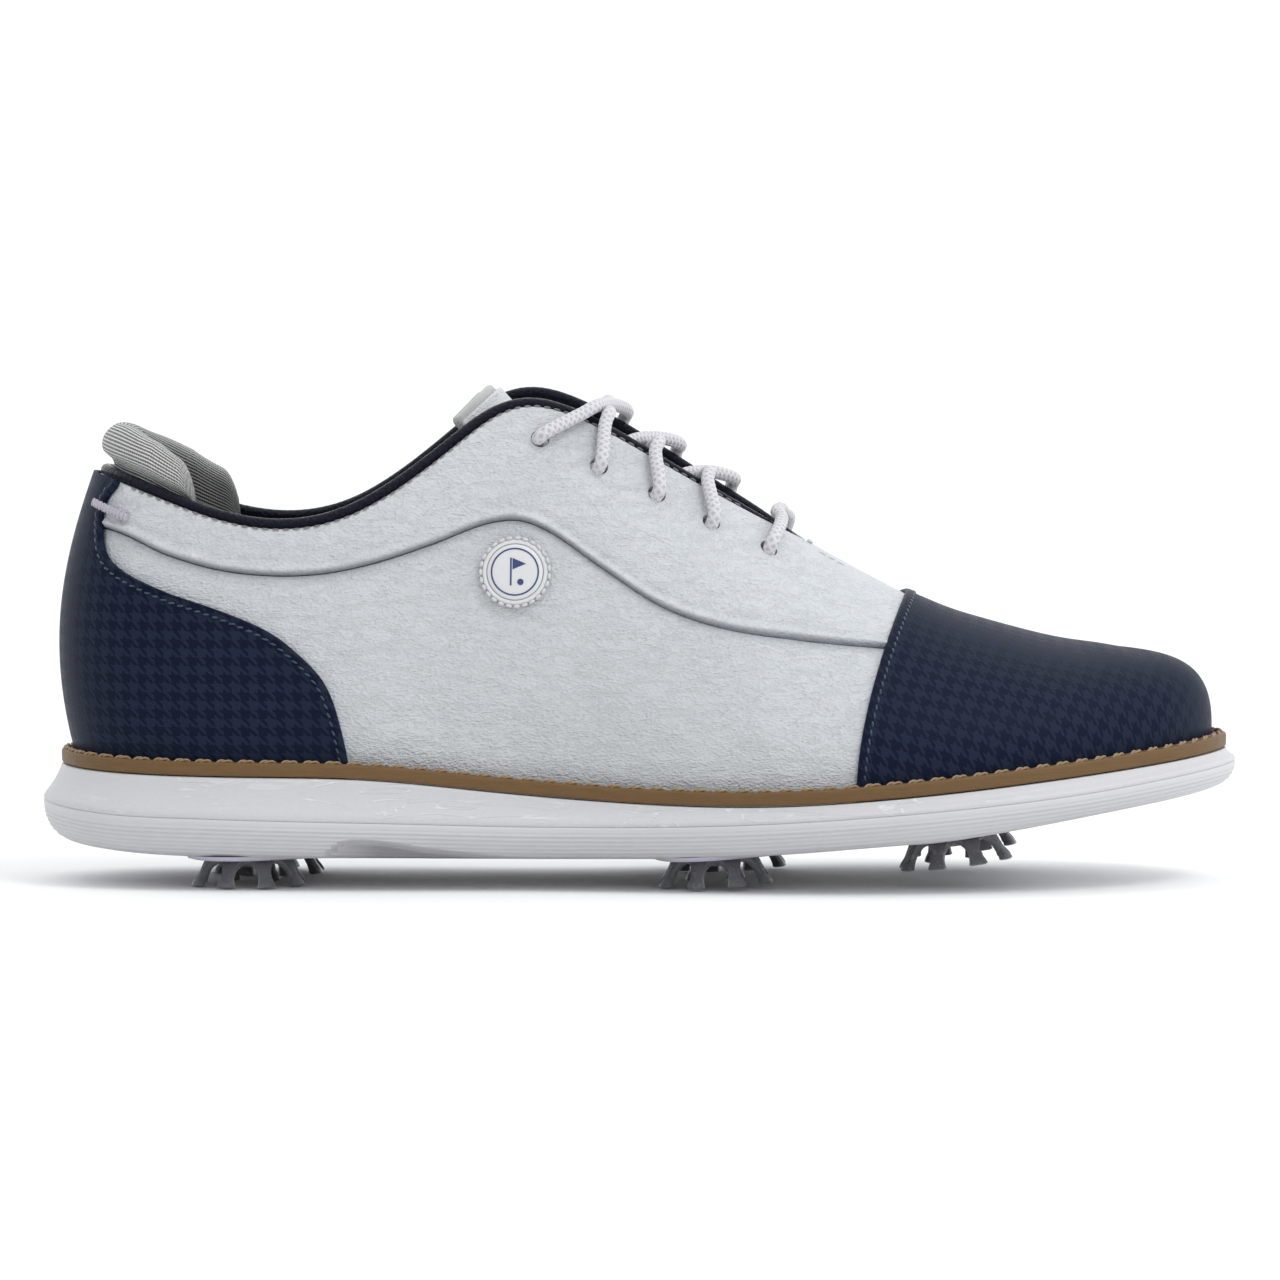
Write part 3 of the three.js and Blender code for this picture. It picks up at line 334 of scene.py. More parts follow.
def smooth_path(points, per_span, closed=False):
    """Centripetal Catmull-Rom curve through points, with even steps in each span."""
    p = np.asarray(points, float)
    if closed:
        p = np.vstack([p[-1:], p, p[:2]])
    else:
        p = np.vstack([2 * p[0] - p[1], p, 2 * p[-1] - p[-2]])
    t = np.arange(per_span)[:, None] / per_span
    spans = []
    for a, b, c, d in zip(p, p[1:], p[2:], p[3:]):
        first, middle, last = (max(np.linalg.norm(step) ** 0.5, 1e-4) for step in (b - a, c - b, d - c))
        m1 = ((b - a) / first - (c - a) / (first + middle) + (c - b) / middle) * middle
        m2 = ((c - b) / middle - (d - b) / (middle + last) + (d - c) / last) * middle
        spans.append(
            (2 * t**3 - 3 * t**2 + 1) * b + (t**3 - 2 * t**2 + t) * m1
            + (3 * t**2 - 2 * t**3) * c + (t**3 - t**2) * m2
        )
    return np.vstack(spans if closed else [*spans, p[-2]])


def even_path(points, step):
    """The same line with points a given distance apart."""
    run = distances(points)
    count = max(2, int(round(run[-1] / step)) + 1)
    return sample(points, run, np.linspace(0, run[-1], count))


def unit(v):
    return v / np.maximum(np.linalg.norm(v, axis=-1, keepdims=True), 1e-9)


def circle(sides):
    return 2 * np.pi * np.arange(sides) / sides


# ---------------------------------------------------------------- surface of the upper

STEP = 0.01
BEND_RIB = float(bisect(lambda r: top_x(r) - THROAT_START_X, 6, 9))
THROAT_RIB = float(bisect(lambda r: top_x(r) - THROAT_END_X, 7, 9))


def openness(s):
    """1 where the upper edge is open, 0 where both sides meet on the ridge."""
    t = (top_x(s) - THROAT_START_X) / (THROAT_END_X - THROAT_START_X)
    return np.sqrt(np.clip(1 - np.clip(t, 0, 1) ** 2, 0, 1))


def outward(s):
    dx = foot_x(s + STEP) - foot_x(s - STEP)
    dy = foot_y(s + STEP) - foot_y(s - STEP)
    return unit(np.stack([dy, -dx, 0 * dx], -1))


def ridge_slope(s):
    r = np.minimum(np.abs(s), 2 * TOE_RIB - np.abs(s))
    at = np.clip(r, THROAT_RIB, TOE_RIB - 0.05)
    return (top_z(at + STEP) - top_z(at - STEP)) / (top_x(at + STEP) - top_x(at - STEP))


def surface(s, v, opened=None):
    """Point of the reference surface at rib s (lateral positive); v is 0 at the feather line, 1 at the edge."""
    s, v = np.broadcast_arrays(np.asarray(s, float), np.asarray(v, float))
    opened = openness(s) if opened is None else opened
    out = outward(s)
    foot = np.stack([foot_x(s), foot_y(s), foot_z(s)], -1)
    eased = opened**PULL_EASE
    top = np.stack([top_x(s), ridge_y(s) + eased * top_gap(s), top_z(s) + eased * top_lift(s)], -1)
    foot_pull = foot + out * bulge(s)[..., None]
    foot_pull[..., 2] += rise(s)
    top_pull = top + out * reach(s)[..., None]
    forward = ridge_slope(s) * out[..., 0] * reach(s)
    top_pull[..., 2] += (1 - eased) * forward - eased * drop(s)
    # The throat's round end bends the leather only near its edge.
    near_edge = (opened - eased) * v**THROAT_REACH
    v = v[..., None]
    w = 1 - v
    point = w**3 * foot + 3 * w * w * v * foot_pull + 3 * w * v * v * top_pull + v**3 * top
    point[..., 1] += near_edge * top_gap(s)
    point[..., 2] += near_edge * top_lift(s)
    return point


def slope_normal(s, v):
    opened = openness(s)
    above = np.minimum(1, v + STEP)
    ds = surface(s + STEP, v, opened) - surface(s - STEP, v, opened)
    dv = surface(s, above, opened) - surface(s, above - 2 * STEP, opened)
    return unit(np.cross(ds, dv))


def surface_normal(s, v):
    """The outward normal; where the two sides meet on the ridge they share one."""
    s, v = np.broadcast_arrays(np.asarray(s, float), np.asarray(v, float))
    near_ridge = np.clip((v - 0.9) / 0.1, 0, 1) * (openness(s) < 1e-6)
    return unit(slope_normal(s, v) + slope_normal(-s, v) * (near_ridge**2)[..., None])


def layer(s, v, height):
    """A point at a height above (or inside) the reference surface; level along the feather line."""
    s, v, height = np.broadcast_arrays(*(np.asarray(k, float) for k in (s, v, height)))
    n = surface_normal(s, v)
    n[..., 2] *= np.minimum(1, v * 6)
    return surface(s, v) + unit(n) * height[..., None]


def locate(x, z, side):
    """The (s, v) of the surface point seen at (x, z) from the lateral or the medial side."""
    v = 0.8
    for _ in range(12):
        r = float(bisect(lambda q: surface(-side * q, v)[..., 0] - x, 0, THROAT_RIB))
        v = float(bisect(lambda q: surface(-side * r, q)[..., 2] - z, 0, 1))
    return -side * r, v


def rib_length(s, v):
    """Millimetres of surface for one unit of s, and for one unit of v."""
    at = np.clip(v, STEP, 1 - STEP)
    ds = np.linalg.norm(surface(s + STEP, v) - surface(s - STEP, v), axis=-1) / (2 * STEP)
    dv = np.linalg.norm(surface(s, at + STEP) - surface(s, at - STEP), axis=-1) / (2 * STEP)
    return ds, dv


# ---------------------------------------------------------------- meshes


def add_piece(name, mesh_parts, material, nodes=(), body="shoe", uv=None, sharp=50):
    """A smooth piece from (points, faces) in the CAD script's millimetres, riding on a body of the frame."""
    points, faces = mesh_parts
    mesh = bpy.data.meshes.new(name)
    mesh.from_pydata(((points + SHIFT) * MM).tolist(), [], faces)
    if uv is not None:
        index = np.empty(len(mesh.loops), int)
        mesh.loops.foreach_get("vertex_index", index)
        mesh.uv_layers.new(name="surface").data.foreach_set("uv", uv.reshape(-1, 2)[index].ravel())
    piece = bpy.data.objects.new(name, mesh)
    bpy.context.collection.objects.link(piece)
    weld(piece)
    mesh.materials.append(material)
    mesh.polygons.foreach_set("use_smooth", [True] * len(mesh.polygons))
    mesh.set_sharp_from_angle(angle=math.radians(sharp))
    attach(piece, body)
    if nodes:
        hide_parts(*nodes)
    return piece


def weld(piece):
    """Merges points that meet, and turns every face outward."""
    bm = bmesh.new()
    bm.from_mesh(piece.data)
    bmesh.ops.remove_doubles(bm, verts=bm.verts, dist=2e-6)
    bmesh.ops.dissolve_degenerate(bm, edges=bm.edges, dist=1e-7)
    bmesh.ops.recalc_face_normals(bm, faces=bm.faces)
    bm.to_mesh(piece.data)
    bm.free()


def grid_faces(rows, columns, first=0):
    starts = [first + i * columns + j for i in range(rows - 1) for j in range(columns - 1)]
    return [(a, a + columns, a + columns + 1, a + 1) for a in starts]


def shell(outer, inner, open_top=None):
    """A closed sheet between two grids of points; open_top says which spans of the last column are real
    edges, and the others are joined along the ridge."""
    rows, columns = outer.shape[:2]
    count = rows * columns
    inside = [face[::-1] for face in grid_faces(rows, columns, count)]
    walls = []
    for i in range(rows - 1):
        walls.append((i * columns, (i + 1) * columns))
        if open_top is None or open_top[i]:
            walls.append(((i + 1) * columns - 1, (i + 2) * columns - 1))
    for j in range(columns - 1):
        walls.append((j, j + 1))
        walls.append(((rows - 1) * columns + j, (rows - 1) * columns + j + 1))
    faces = grid_faces(rows, columns) + inside + [(a, b, b + count, a + count) for a, b in walls]
    return np.concatenate([outer.reshape(-1, 3), inner.reshape(-1, 3)]), faces


def loft(rings, ends="capped"):
    """A skin over closed rings of points, with its ends capped, laddered from side to side, or looped."""
    count, sides = len(rings), len(rings[0])
    last = (count - 1) * sides
    faces = []
    for i in range(count if ends == "looped" else count - 1):
        near, far = i * sides, (i + 1) % count * sides
        faces += [(near + k, near + (k + 1) % sides, far + (k + 1) % sides, far + k) for k in range(sides)]
    if ends == "capped":
        faces += [tuple(range(sides))[::-1], tuple(range(last, last + sides))]
    if ends == "laddered":
        for k in range(sides // 2):
            rung = (k, (sides - k) % sides, (sides - k - 1) % sides, k + 1)
            faces += [rung[::-1], tuple(last + i for i in rung)]
    return np.array(rings).reshape(-1, 3), faces


def round_rings(profile, sides):
    """Rings about the z axis from (radius, height) pairs."""
    angle = circle(sides)
    spokes = np.stack([np.cos(angle), np.sin(angle), 0 * angle], 1)
    return np.array([spokes * radius + (0, 0, height) for radius, height in profile])


def rounded(share):
    """A quarter circle: 0 at the very edge, 1 once the share reaches 1."""
    return np.sqrt(np.clip(1 - (1 - np.clip(share, 0, 1)) ** 2, 0, 1))


def edge_lip(distance, lip):
    """A raised lip along an edge, with a faint groove behind it."""
    return lip * (np.exp(-(((distance - 1.1) / 0.8) ** 2)) - 0.35 * np.exp(-(((distance - 3.1) / 0.9) ** 2)))


EDGE_STEPS = np.array([0, 0.05, 0.16, 0.34, 0.6, 0.9, 1.25, 1.7, 2.2, 2.8, 3.5, 4.4])


def tube_rings(path, radius, sides, closed=False, relief=None):
    """Rings round a path; the radius may vary along it, and relief(angle, distance along) is added."""
    after = np.roll(path, -1, 0) if closed else np.vstack([path[1:], 2 * path[-1] - path[-2]])
    before = np.roll(path, 1, 0) if closed else np.vstack([2 * path[0] - path[1], path[:-1]])
    tangent = unit(after - before)
    side = np.cross(tangent[0], (0, 0, 1) if abs(tangent[0][2]) < 0.9 else (0, 1, 0))
    angle = circle(sides)
    rings = []
    for point, t, r, run in zip(path, tangent, np.broadcast_to(radius, len(path)), distances(path)):
        side = unit(side - t * side.dot(t))
        r = r + (relief(angle, run) if relief else 0)
        up = np.cross(t, side)
        rings.append(point + np.outer(r * np.cos(angle), side) + np.outer(r * np.sin(angle), up))
    return np.array(rings)


def merge(parts):
    """Joins (points, faces) parts into one."""
    faces, first = [], 0
    for points, part_faces in parts:
        faces += [tuple(i + first for i in face) for face in part_faces]
        first += len(points)
    return np.vstack([points for points, _ in parts]), faces


def cut_holes(piece, places, radius, depth, segments):
    """Cuts a round hole at each (centre, rotation), in millimetres."""
    bm = bmesh.new()
    for centre, turn in places:
        bmesh.ops.create_cone(
            bm, cap_ends=True, segments=segments, radius1=radius * MM, radius2=radius * MM, depth=depth * MM,
            matrix=Matrix.Translation((centre + SHIFT) * MM) @ turn.to_4x4(),
        )
    mesh = bpy.data.meshes.new("holes")
    bm.to_mesh(mesh)
    bm.free()
    cutter = bpy.data.objects.new("holes", mesh)
    bpy.context.collection.objects.link(cutter)
    cut = piece.modifiers.new("cut", "BOOLEAN")
    cut.operation = "DIFFERENCE"
    cut.solver = "EXACT"
    cut.object = cutter
    whole = piece.data
    piece.data = bpy.data.meshes.new_from_object(piece.evaluated_get(bpy.context.evaluated_depsgraph_get()))
    piece.modifiers.clear()
    bpy.data.meshes.remove(whole)
    bpy.data.objects.remove(cutter)


def stitch(a, b, up, radius, sink=0.35, twist=False):
    """One thread stitch from a to b: a short bead that dives into the leather at both ends."""
    t = np.linspace(0, 1, 9)
    arch = np.sin(np.pi * t) ** 0.5
    line = a + np.outer(t, b - a) + np.outer(arch * radius * 0.9 - sink * radius, up)
    if not twist:
        return loft(tube_rings(line, radius * (0.55 + 0.45 * arch), 8))
    across = unit(np.cross(b - a, up))
    plies = []
    for phase in (0, np.pi):
        turn = 2 * np.pi * t * 0.9 + phase
        offset = np.outer(np.cos(turn), across) + np.outer(np.sin(turn), up)
        plies.append(loft(tube_rings(line + offset * radius * 0.5, radius * 0.62, 6)))
    return merge(plies)


def add_stitches(name, parts, material):
    return add_piece(name, merge(parts), material, sharp=80)


def stitch_row(path, normals, length, gap, radius, twist=False, slant=0.0):
    """Stitches along a path with given normals: a list of parts."""
    run = distances(path)
    count = int(run[-1] / (length + gap))
    pitch = run[-1] / count
    parts = []
    for i in range(count):
        ends = [i * pitch + gap / 2, (i + 1) * pitch - gap / 2]
        a, b = sample(path, run, ends)
        up = unit(sample(normals, run, sum(ends) / 2))
        aside = unit(np.cross(up, b - a)) * slant
        parts.append(stitch(a - aside, b + aside, up, radius, twist=twist))
    return parts


# ---------------------------------------------------------------- material graphs


class Graph:
    """A procedural material: a Principled shader and short calls that add nodes."""

    def __init__(self, name, rough=0.5, specular=0.5, sheen=0.0):
        self.material = bpy.data.materials.new(name)
        self.material.use_nodes = True
        self.tree = self.material.node_tree
        self.shader = self.tree.nodes["Principled BSDF"].inputs
        self.shader["Roughness"].default_value = rough
        self.shader["Specular IOR Level"].default_value = specular
        self.shader["Sheen Weight"].default_value = sheen

    def put(self, socket, value):
        if isinstance(value, bpy.types.NodeSocket):
            self.tree.links.new(value, socket)
        elif isinstance(value, tuple) and socket.type == "RGBA":
            socket.default_value = (*value, 1)
        elif value is not None:
            socket.default_value = value

    def node(self, kind, **inputs):
        made = self.tree.nodes.new("ShaderNode" + kind)
        for key, value in inputs.items():
            self.put(made.inputs[key.replace("_", " ")], value)
        return made

    def math(self, operation, a, b=None):
        made = self.node("Math")
        made.operation = operation
        self.put(made.inputs[0], a)
        self.put(made.inputs[1], b)
        return made.outputs[0]

    def times(self, a, b):
        return self.math("MULTIPLY", a, b)

    def plus(self, a, b):
        return self.math("ADD", a, b)

    def wave(self, value, pitch):
        return self.math("SINE", self.times(value, 2 * math.pi / pitch))

    def place(self, scale=(1, 1, 1)):
        """Object coordinates in millimetres, stretched by scale."""
        where = self.node("TexCoord").outputs["Object"]
        return self.node("Mapping", Vector=where, Scale=[k / MM for k in scale]).outputs[0]

    def uv(self):
        """The two coordinates that a piece carries, 0 where it has none."""
        return self.node("SeparateXYZ", Vector=self.node("TexCoord").outputs["UV"]).outputs

    def painted_shade_share(self):
        """How much painted shade a piece carries: its first coordinate."""
        return self.uv()[0]

    def noise(self, where, scale, detail=3.0, roughness=0.5, distortion=0.0):
        return self.node(
            "TexNoise", Vector=where, Scale=scale, Detail=detail, Roughness=roughness, Distortion=distortion,
        ).outputs["Fac"]

    def cells(self, where, scale):
        return self.node("TexVoronoi", Vector=where, Scale=scale).outputs["Distance"]

    def ramp(self, value, start, end):
        """Grey levels along a value, between two (position, level) stops."""
        made = self.node("ValToRGB", Fac=value)
        for element, (position, level) in zip(made.color_ramp.elements, (start, end)):
            element.position = position
            element.color = (level, level, level, 1)
        return made.outputs["Color"]

    def span(self, value, **limits):
        return self.node("MapRange", Value=value, **limits).outputs[0]

    def mix(self, share, a, b):
        made = self.node("Mix")
        made.data_type = "RGBA"
        for index, value in ((0, share), (6, a), (7, b)):
            self.put(made.inputs[index], value)
        return made.outputs[2]

    def finish(self, colour, rough, *bumps):
        """Sets the colour, the roughness as (value, low, high) and bumps as (height, mm, strength)."""
        self.put(self.shader["Base Color"], colour)
        value, low, high = rough
        self.put(self.shader["Roughness"], self.span(value, To_Min=low, To_Max=high))
        normal = None
        for height, distance, strength in bumps:
            normal = self.node(
                "Bump", Height=height, Distance=distance * MM, Strength=strength, Normal=normal,
            ).outputs[0]
        self.put(self.shader["Normal"], normal)
        return self.material


def white_leather():
    """Full-grain leather: pebble grain, slanting creases, soft waves, and painted shade along the saddle's
    lower edge and just below it.
    """
    g = Graph("white_leather", specular=0.3)
    where = g.place()
    grain = g.cells(g.place((0.8, 0.8, 1.5)), 1.35)
    pores = g.noise(where, 2.2, 4)
    creases = g.math("ABSOLUTE", g.math("SUBTRACT", g.noise(g.place((0.7, 1, 1.7)), 0.2, 5, 0.65, 1.0), 0.5))
    lines = g.ramp(creases, (0, 0), (0.07, 1))
    tone = g.mix(g.noise(where, 0.03, 3), (0.52, 0.54, 0.562), (0.57, 0.588, 0.61))
    # Where a piece carries painted shade, the colour darkens toward a grey-blue.
    return g.finish(
        g.mix(g.painted_shade_share(), tone, (0.20, 0.215, 0.24)), (pores, 0.40, 0.56),
        (g.noise(where, 0.07, 2), 2.5, 0.6), (lines, 0.25, 0.5), (grain, 0.28, 0.85), (pores, 0.12, 0.5),
    )


def broken_check(g, u, v):
    """A two-and-two twill of dark and light threads: 1 where a dark thread is on top."""
    warp_dark = g.math("LESS_THAN", g.math("FRACT", u), 0.5)
    weft_dark = g.math("LESS_THAN", g.math("FRACT", v), 0.5)
    twill = g.math("LESS_THAN", g.math("FRACT", g.times(g.plus(u, v), 2.0)), 0.5)
    return g.plus(g.times(warp_dark, twill), g.times(weft_dark, g.math("SUBTRACT", 1.0, twill)))


def navy_leather():
    """Navy leather printed with a tone-on-tone check over a fine diagonal hatch, whose lines are lightened as a
    painted sheen.
    """
    g = Graph("navy_leather", specular=0.04, sheen=0.03)
    u, v, _ = g.uv()
    check = broken_check(g, g.times(u, 1 / CHECK_REPEAT), g.times(v, 1 / CHECK_REPEAT))
    hatch = g.wave(g.plus(g.times(u, 0.6), g.times(v, 0.8)), HATCH_PITCH)
    where = g.place()
    ground = g.mix(g.noise(where, 0.05, 3), (0.007, 0.012, 0.029), (0.010, 0.016, 0.037))
    # The hatch lines are lighter: a painted sheen in place of their reflection.
    ground_with_hatch_sheen = g.mix(g.times(g.math("GREATER_THAN", hatch, 0.0), 0.8), ground, (0.020, 0.027, 0.049))
    return g.finish(
        g.mix(g.times(check, 0.75), ground_with_hatch_sheen, (0.003, 0.006, 0.019)), (check, 0.5, 0.4),
        (g.noise(where, 2.2, 4), 0.10, 0.5), (check, 0.05, 0.5), (hatch, 0.02, 0.5),
    )


def binding_tape():
    g = Graph("binding_tape", rough=0.3, specular=0.15)
    where = g.place()
    cloth = g.noise(where, 1.6, 5, 0.7)
    return g.finish(
        g.mix(g.ramp(cloth, (0.5, 0), (0.8, 1)), (0.0012, 0.0025, 0.010), (0.014, 0.020, 0.042)),
        (cloth, 0.08, 0.25), (cloth, 0.4, 1.0), (g.cells(where, 1.1), 0.3, 0.7),
    )


def welt_leather():
    g = Graph("welt_leather", specular=0.25)
    fibre = g.noise(g.place((0.25, 0.25, 3)), 0.7, 5, 0.65)
    spots = g.noise(g.place(), 0.9, 4)
    return g.finish(
        g.mix(fibre, (0.105, 0.058, 0.020), (0.180, 0.104, 0.042)), (spots, 0.38, 0.62),
        (fibre, 0.2, 0.5), (spots, 0.12, 0.4),
    )


def thread(name, tint, shade, rough=0.6):
    g = Graph(name, rough=rough, sheen=0.2)
    twist = g.noise(g.place(), 4.0, 2)
    return g.finish(g.mix(twist, shade, tint), (twist, rough - 0.1, rough + 0.15), (twist, 0.12, 0.6))


def sole_upper_foam():
    """Moulded foam with raised wandering crinkle lines that run along the shoe, painted lighter as a highlight.
    """
    g = Graph("midsole_foam", specular=0.4)
    wander = g.noise(g.place((0.22, 0.22, 1.3)), 0.22, 2, 0.5, 0.9)
    ridge = g.ramp(g.math("ABSOLUTE", g.math("SUBTRACT", wander, 0.5)), (0, 1), (0.02, 0))
    patch = g.ramp(g.noise(g.place((0.6, 0.6, 1)), 0.05, 2), (0.44, 0), (0.56, 1))
    crinkle = g.times(ridge, patch)
    skin = g.noise(g.place(), 1.2, 4)
    tone = g.mix(skin, (0.525, 0.52, 0.54), (0.575, 0.57, 0.59))
    # The crinkle lines are lighter in colour: a painted highlight on their raised tops.
    return g.finish(
        g.mix(crinkle, tone, (0.67, 0.67, 0.68)), (skin, 0.42, 0.6), (crinkle, 0.2, 0.6), (skin, 0.08, 0.4),
    )


def sole_rubber():
    """White rubber, with painted shade in its grooves and inside the scooped waist."""
    g = Graph("outsole_rubber", specular=0.42)
    skin = g.noise(g.place(), 1.4, 4)
    white = g.mix(g.noise(g.place((0.2, 0.2, 1)), 0.12, 3), (0.55, 0.545, 0.57), (0.60, 0.595, 0.62))
    # The colour darkens where the outsole carries painted shade.
    return g.finish(g.mix(g.painted_shade_share(), white, (0.27, 0.265, 0.285)), (skin, 0.4, 0.62), (skin, 0.06, 0.35))


def cleat_plastic():
    """Smoky see-through plastic, with a painted rim highlight where its surface is seen edge-on."""
    g = Graph("cleat_plastic", rough=0.25)
    where = g.place()
    # Paler where the surface is seen edge-on: a painted rim highlight.
    rim = g.ramp(g.node("LayerWeight", Blend=0.45).outputs["Facing"], (0.3, 0), (1, 1))
    smoke = g.mix(g.noise(where, 0.12, 1), (0.13, 0.13, 0.14), (0.19, 0.19, 0.20))
    g.shader["Transmission Weight"].default_value = 0.12
    g.shader["IOR"].default_value = 1.4
    return g.finish(
        g.mix(rim, smoke, (0.42, 0.42, 0.43)), (g.noise(where, 0.5, 2), 0.2, 0.32),
        (g.noise(where, 0.25, 1), 0.05, 0.15),
    )


def pod_plastic():
    g = Graph("pod_plastic", rough=0.45)
    where = g.place()
    return g.finish(
        g.mix(g.noise(where, 0.4, 3), (0.44, 0.42, 0.52), (0.52, 0.50, 0.60)),
        (g.noise(where, 1.5, 3), 0.35, 0.55), (g.noise(where, 2.0, 3), 0.08, 0.3),
    )


def rib_knit():
    """Silver ribbed knit, in coordinates along the pad and round it, with painted shade in its grooves and over
    the whole inner face.
    """
    g = Graph("rib_knit", rough=0.7, sheen=0.3)
    run, girth, _ = g.uv()
    knit = g.plus(g.wave(girth, RIB_PITCH), g.times(g.wave(run, KNIT_LOOP), 0.25))
    share = g.plus(g.times(knit, 0.5), 0.5)
    fuzz = g.noise(g.place(), 1.8, 4)
    # The dark grooves between the silver ribs are painted shade, and the inner face takes a darker copy as
    # painted shade.
    silver = g.mix(share, (0.07, 0.07, 0.067), (0.86, 0.855, 0.84))
    shade = g.mix(share, (0.02, 0.02, 0.02), (0.11, 0.11, 0.107))
    inner = g.span(girth, From_Min=PAD_INNER_SHADE_FROM, From_Max=PAD_INNER_SHADE_FROM + 8)
    return g.finish(g.mix(inner, silver, shade), (fuzz, 0.45, 0.75), (knit, 0.3, 1.0), (fuzz, 0.15, 0.4))


def brushed_lining():
    g = Graph("brushed_lining", rough=0.9, sheen=0.6)
    where = g.place()
    nap = g.noise(where, 1.4, 6, 0.75)
    return g.finish(
        g.mix(nap, (0.30, 0.305, 0.30), (0.50, 0.505, 0.50)), (nap, 0.75, 1.0),
        (nap, 0.3, 0.7), (g.cells(where, 1.1), 0.1, 0.4),
    )


def footbed_fabric():
    g = Graph("footbed_fabric", rough=0.9, sheen=0.4)
    where = g.place()
    x, y, _ = g.node("SeparateXYZ", Vector=where).outputs
    weave = g.times(g.wave(x, FOOTBED_WEAVE), g.wave(y, FOOTBED_WEAVE))
    nap = g.noise(where, 0.8, 5)
    return g.finish(
        g.mix(nap, (0.25, 0.255, 0.26), (0.40, 0.405, 0.41)), (nap, 0.7, 0.95),
        (weave, 0.08, 0.6), (nap, 0.2, 0.4),
    )


def lace_braid():
    """Round braid: two families of strands that cross, in coordinates along the lace and round it, with painted
    shade between the strands.
    """
    g = Graph("lace_braid", rough=0.7, sheen=0.3)
    run, girth, _ = g.uv()
    along_lace = g.times(run, 2 * math.pi / BRAID_PITCH)
    round_lace = g.times(girth, BRAID_STRANDS / LACE_RADIUS)
    one = g.math("COSINE", g.plus(along_lace, round_lace))
    other = g.math("COSINE", g.math("SUBTRACT", along_lace, round_lace))
    strands = g.plus(g.times(g.math("MAXIMUM", one, other), 0.5), 0.5)
    fibre = g.noise(g.place(), 3.0, 4)
    tone = g.mix(fibre, (0.56, 0.545, 0.585), (0.68, 0.67, 0.70))
    # Between the strands the colour darkens: painted shade in the braid's crevices.
    return g.finish(
        g.mix(g.ramp(strands, (0.25, 0), (0.7, 1)), (0.47, 0.45, 0.505), tone), (fibre, 0.55, 0.8),
        (strands, 0.3, 0.9), (fibre, 0.1, 0.5),
    )


def plain(name, dark, light, rough=0.5, grain=0.8, depth=0.1, metallic=0.0):
    """A worn, slightly uneven solid colour for hidden and small parts."""
    g = Graph(name, rough=rough)
    g.shader["Metallic"].default_value = metallic
    spread = g.noise(g.place(), grain, 5)
    return g.finish(
        g.mix(spread, dark, light), (spread, max(0.05, rough - 0.12), min(1.0, rough + 0.12)),
        (spread, depth, 0.4),
    )


WHITE = white_leather()
NAVY = navy_leather()
BINDING = binding_tape()
WELT = welt_leather()
FOAM = sole_upper_foam()
RUBBER = sole_rubber()
CLEAT = cleat_plastic()
POD_PLASTIC = pod_plastic()
KNIT = rib_knit()
LINING_CLOTH = brushed_lining()
LACE = lace_braid()
WHITE_THREAD = thread("white_thread", (0.66, 0.67, 0.69), (0.48, 0.49, 0.52))
LILAC_THREAD = thread("lilac_thread", (0.58, 0.55, 0.62), (0.27, 0.25, 0.31))
TAUPE_THREAD = thread("taupe_thread", (0.24, 0.225, 0.22), (0.10, 0.095, 0.10))
BLUE_THREAD = thread("blue_thread", (0.022, 0.07, 0.115), (0.002, 0.004, 0.010), rough=0.3)
TAN_THREAD = thread("tan_thread", (0.40, 0.27, 0.13), (0.12, 0.065, 0.028), rough=0.45)

# ---------------------------------------------------------------- the lace, which comes first

# Lateral is toward -y, but its rib positions are positive.
LATERAL, MEDIAL = -1, 1
RIB_SIGNS = {"lateral": 1, "medial": -1}

OVER = SADDLE[0] + LACE_RADIUS + 0.4
UNDER = LINING[1] - LACE_RADIUS - 0.4
UNDER_EDGE = UNDER - GAP

# Places of the lace by the lacing edge, as (distance into the gap, height).
ON_LEATHER = (-0.5, OVER + 0.4)
OFF_EDGE = (3.1, 2.2)
DIPPING = (3.2, -4.4)
UNDER_LEATHER = (-1.5, UNDER_EDGE)


def footbed_top(x):
    heel_seat_end, stack_height = -62, 2 + 4 + GAP
    s = bisect(lambda r: foot_x(r) - max(x, heel_seat_end), 0, TOE_RIB)
    return float(foot_z(s)) + stack_height


def eyelet_spot(i, side):
    x, z = EYELETS[i]
    return locate(x + 3, z - 0.3, side) if side == MEDIAL else locate(x, z, side)


EYELET_SPOTS = {(i, side): eyelet_spot(i, side) for i in range(len(EYELETS)) for side in (LATERAL, MEDIAL)}


def edge_point(x, side, away, height):
    """A place by the lacing edge at x: a distance from the edge into the gap, and a height."""
    s = -side * float(bisect(lambda q: top_x(q) - x, 0, THROAT_RIB))
    n = surface_normal(s, 1.0)
    inward = unit(np.cross(surface(s + STEP, 1.0) - surface(s - STEP, 1.0), n))
    if inward[1] * side > 0:
        inward = -inward
    return surface(s, 1.0) + n * height + inward * away


def crossing(side, from_x, to_x, to_under, lift, slant=0):
    """From on top of one side over the gap to the other side, on top of it or under it."""
    start = [edge_point(from_x, side, *ON_LEATHER), edge_point(from_x + slant, side, *OFF_EDGE)]
    far = (DIPPING, UNDER_LEATHER) if to_under else (OFF_EDGE, ON_LEATHER)
    end = [edge_point(to_x, -side, *place) for place in far]
    return [*start, (start[1] + end[0]) / 2 + (0, 0, lift), *end]


def hidden_crossing(side, from_x, to_x, lift):
    start = edge_point(from_x, side, -1, UNDER_EDGE)
    end = edge_point(to_x, -side, -1, UNDER_EDGE)
    return [start, (start + end) / 2 + (0, 0, lift), end]


def through(i, side, upward):
    s, v = EYELET_SPOTS[i, side]
    heights = (UNDER, OVER) if upward else (OVER, UNDER)
    return [layer(s, v, h) for h in heights]


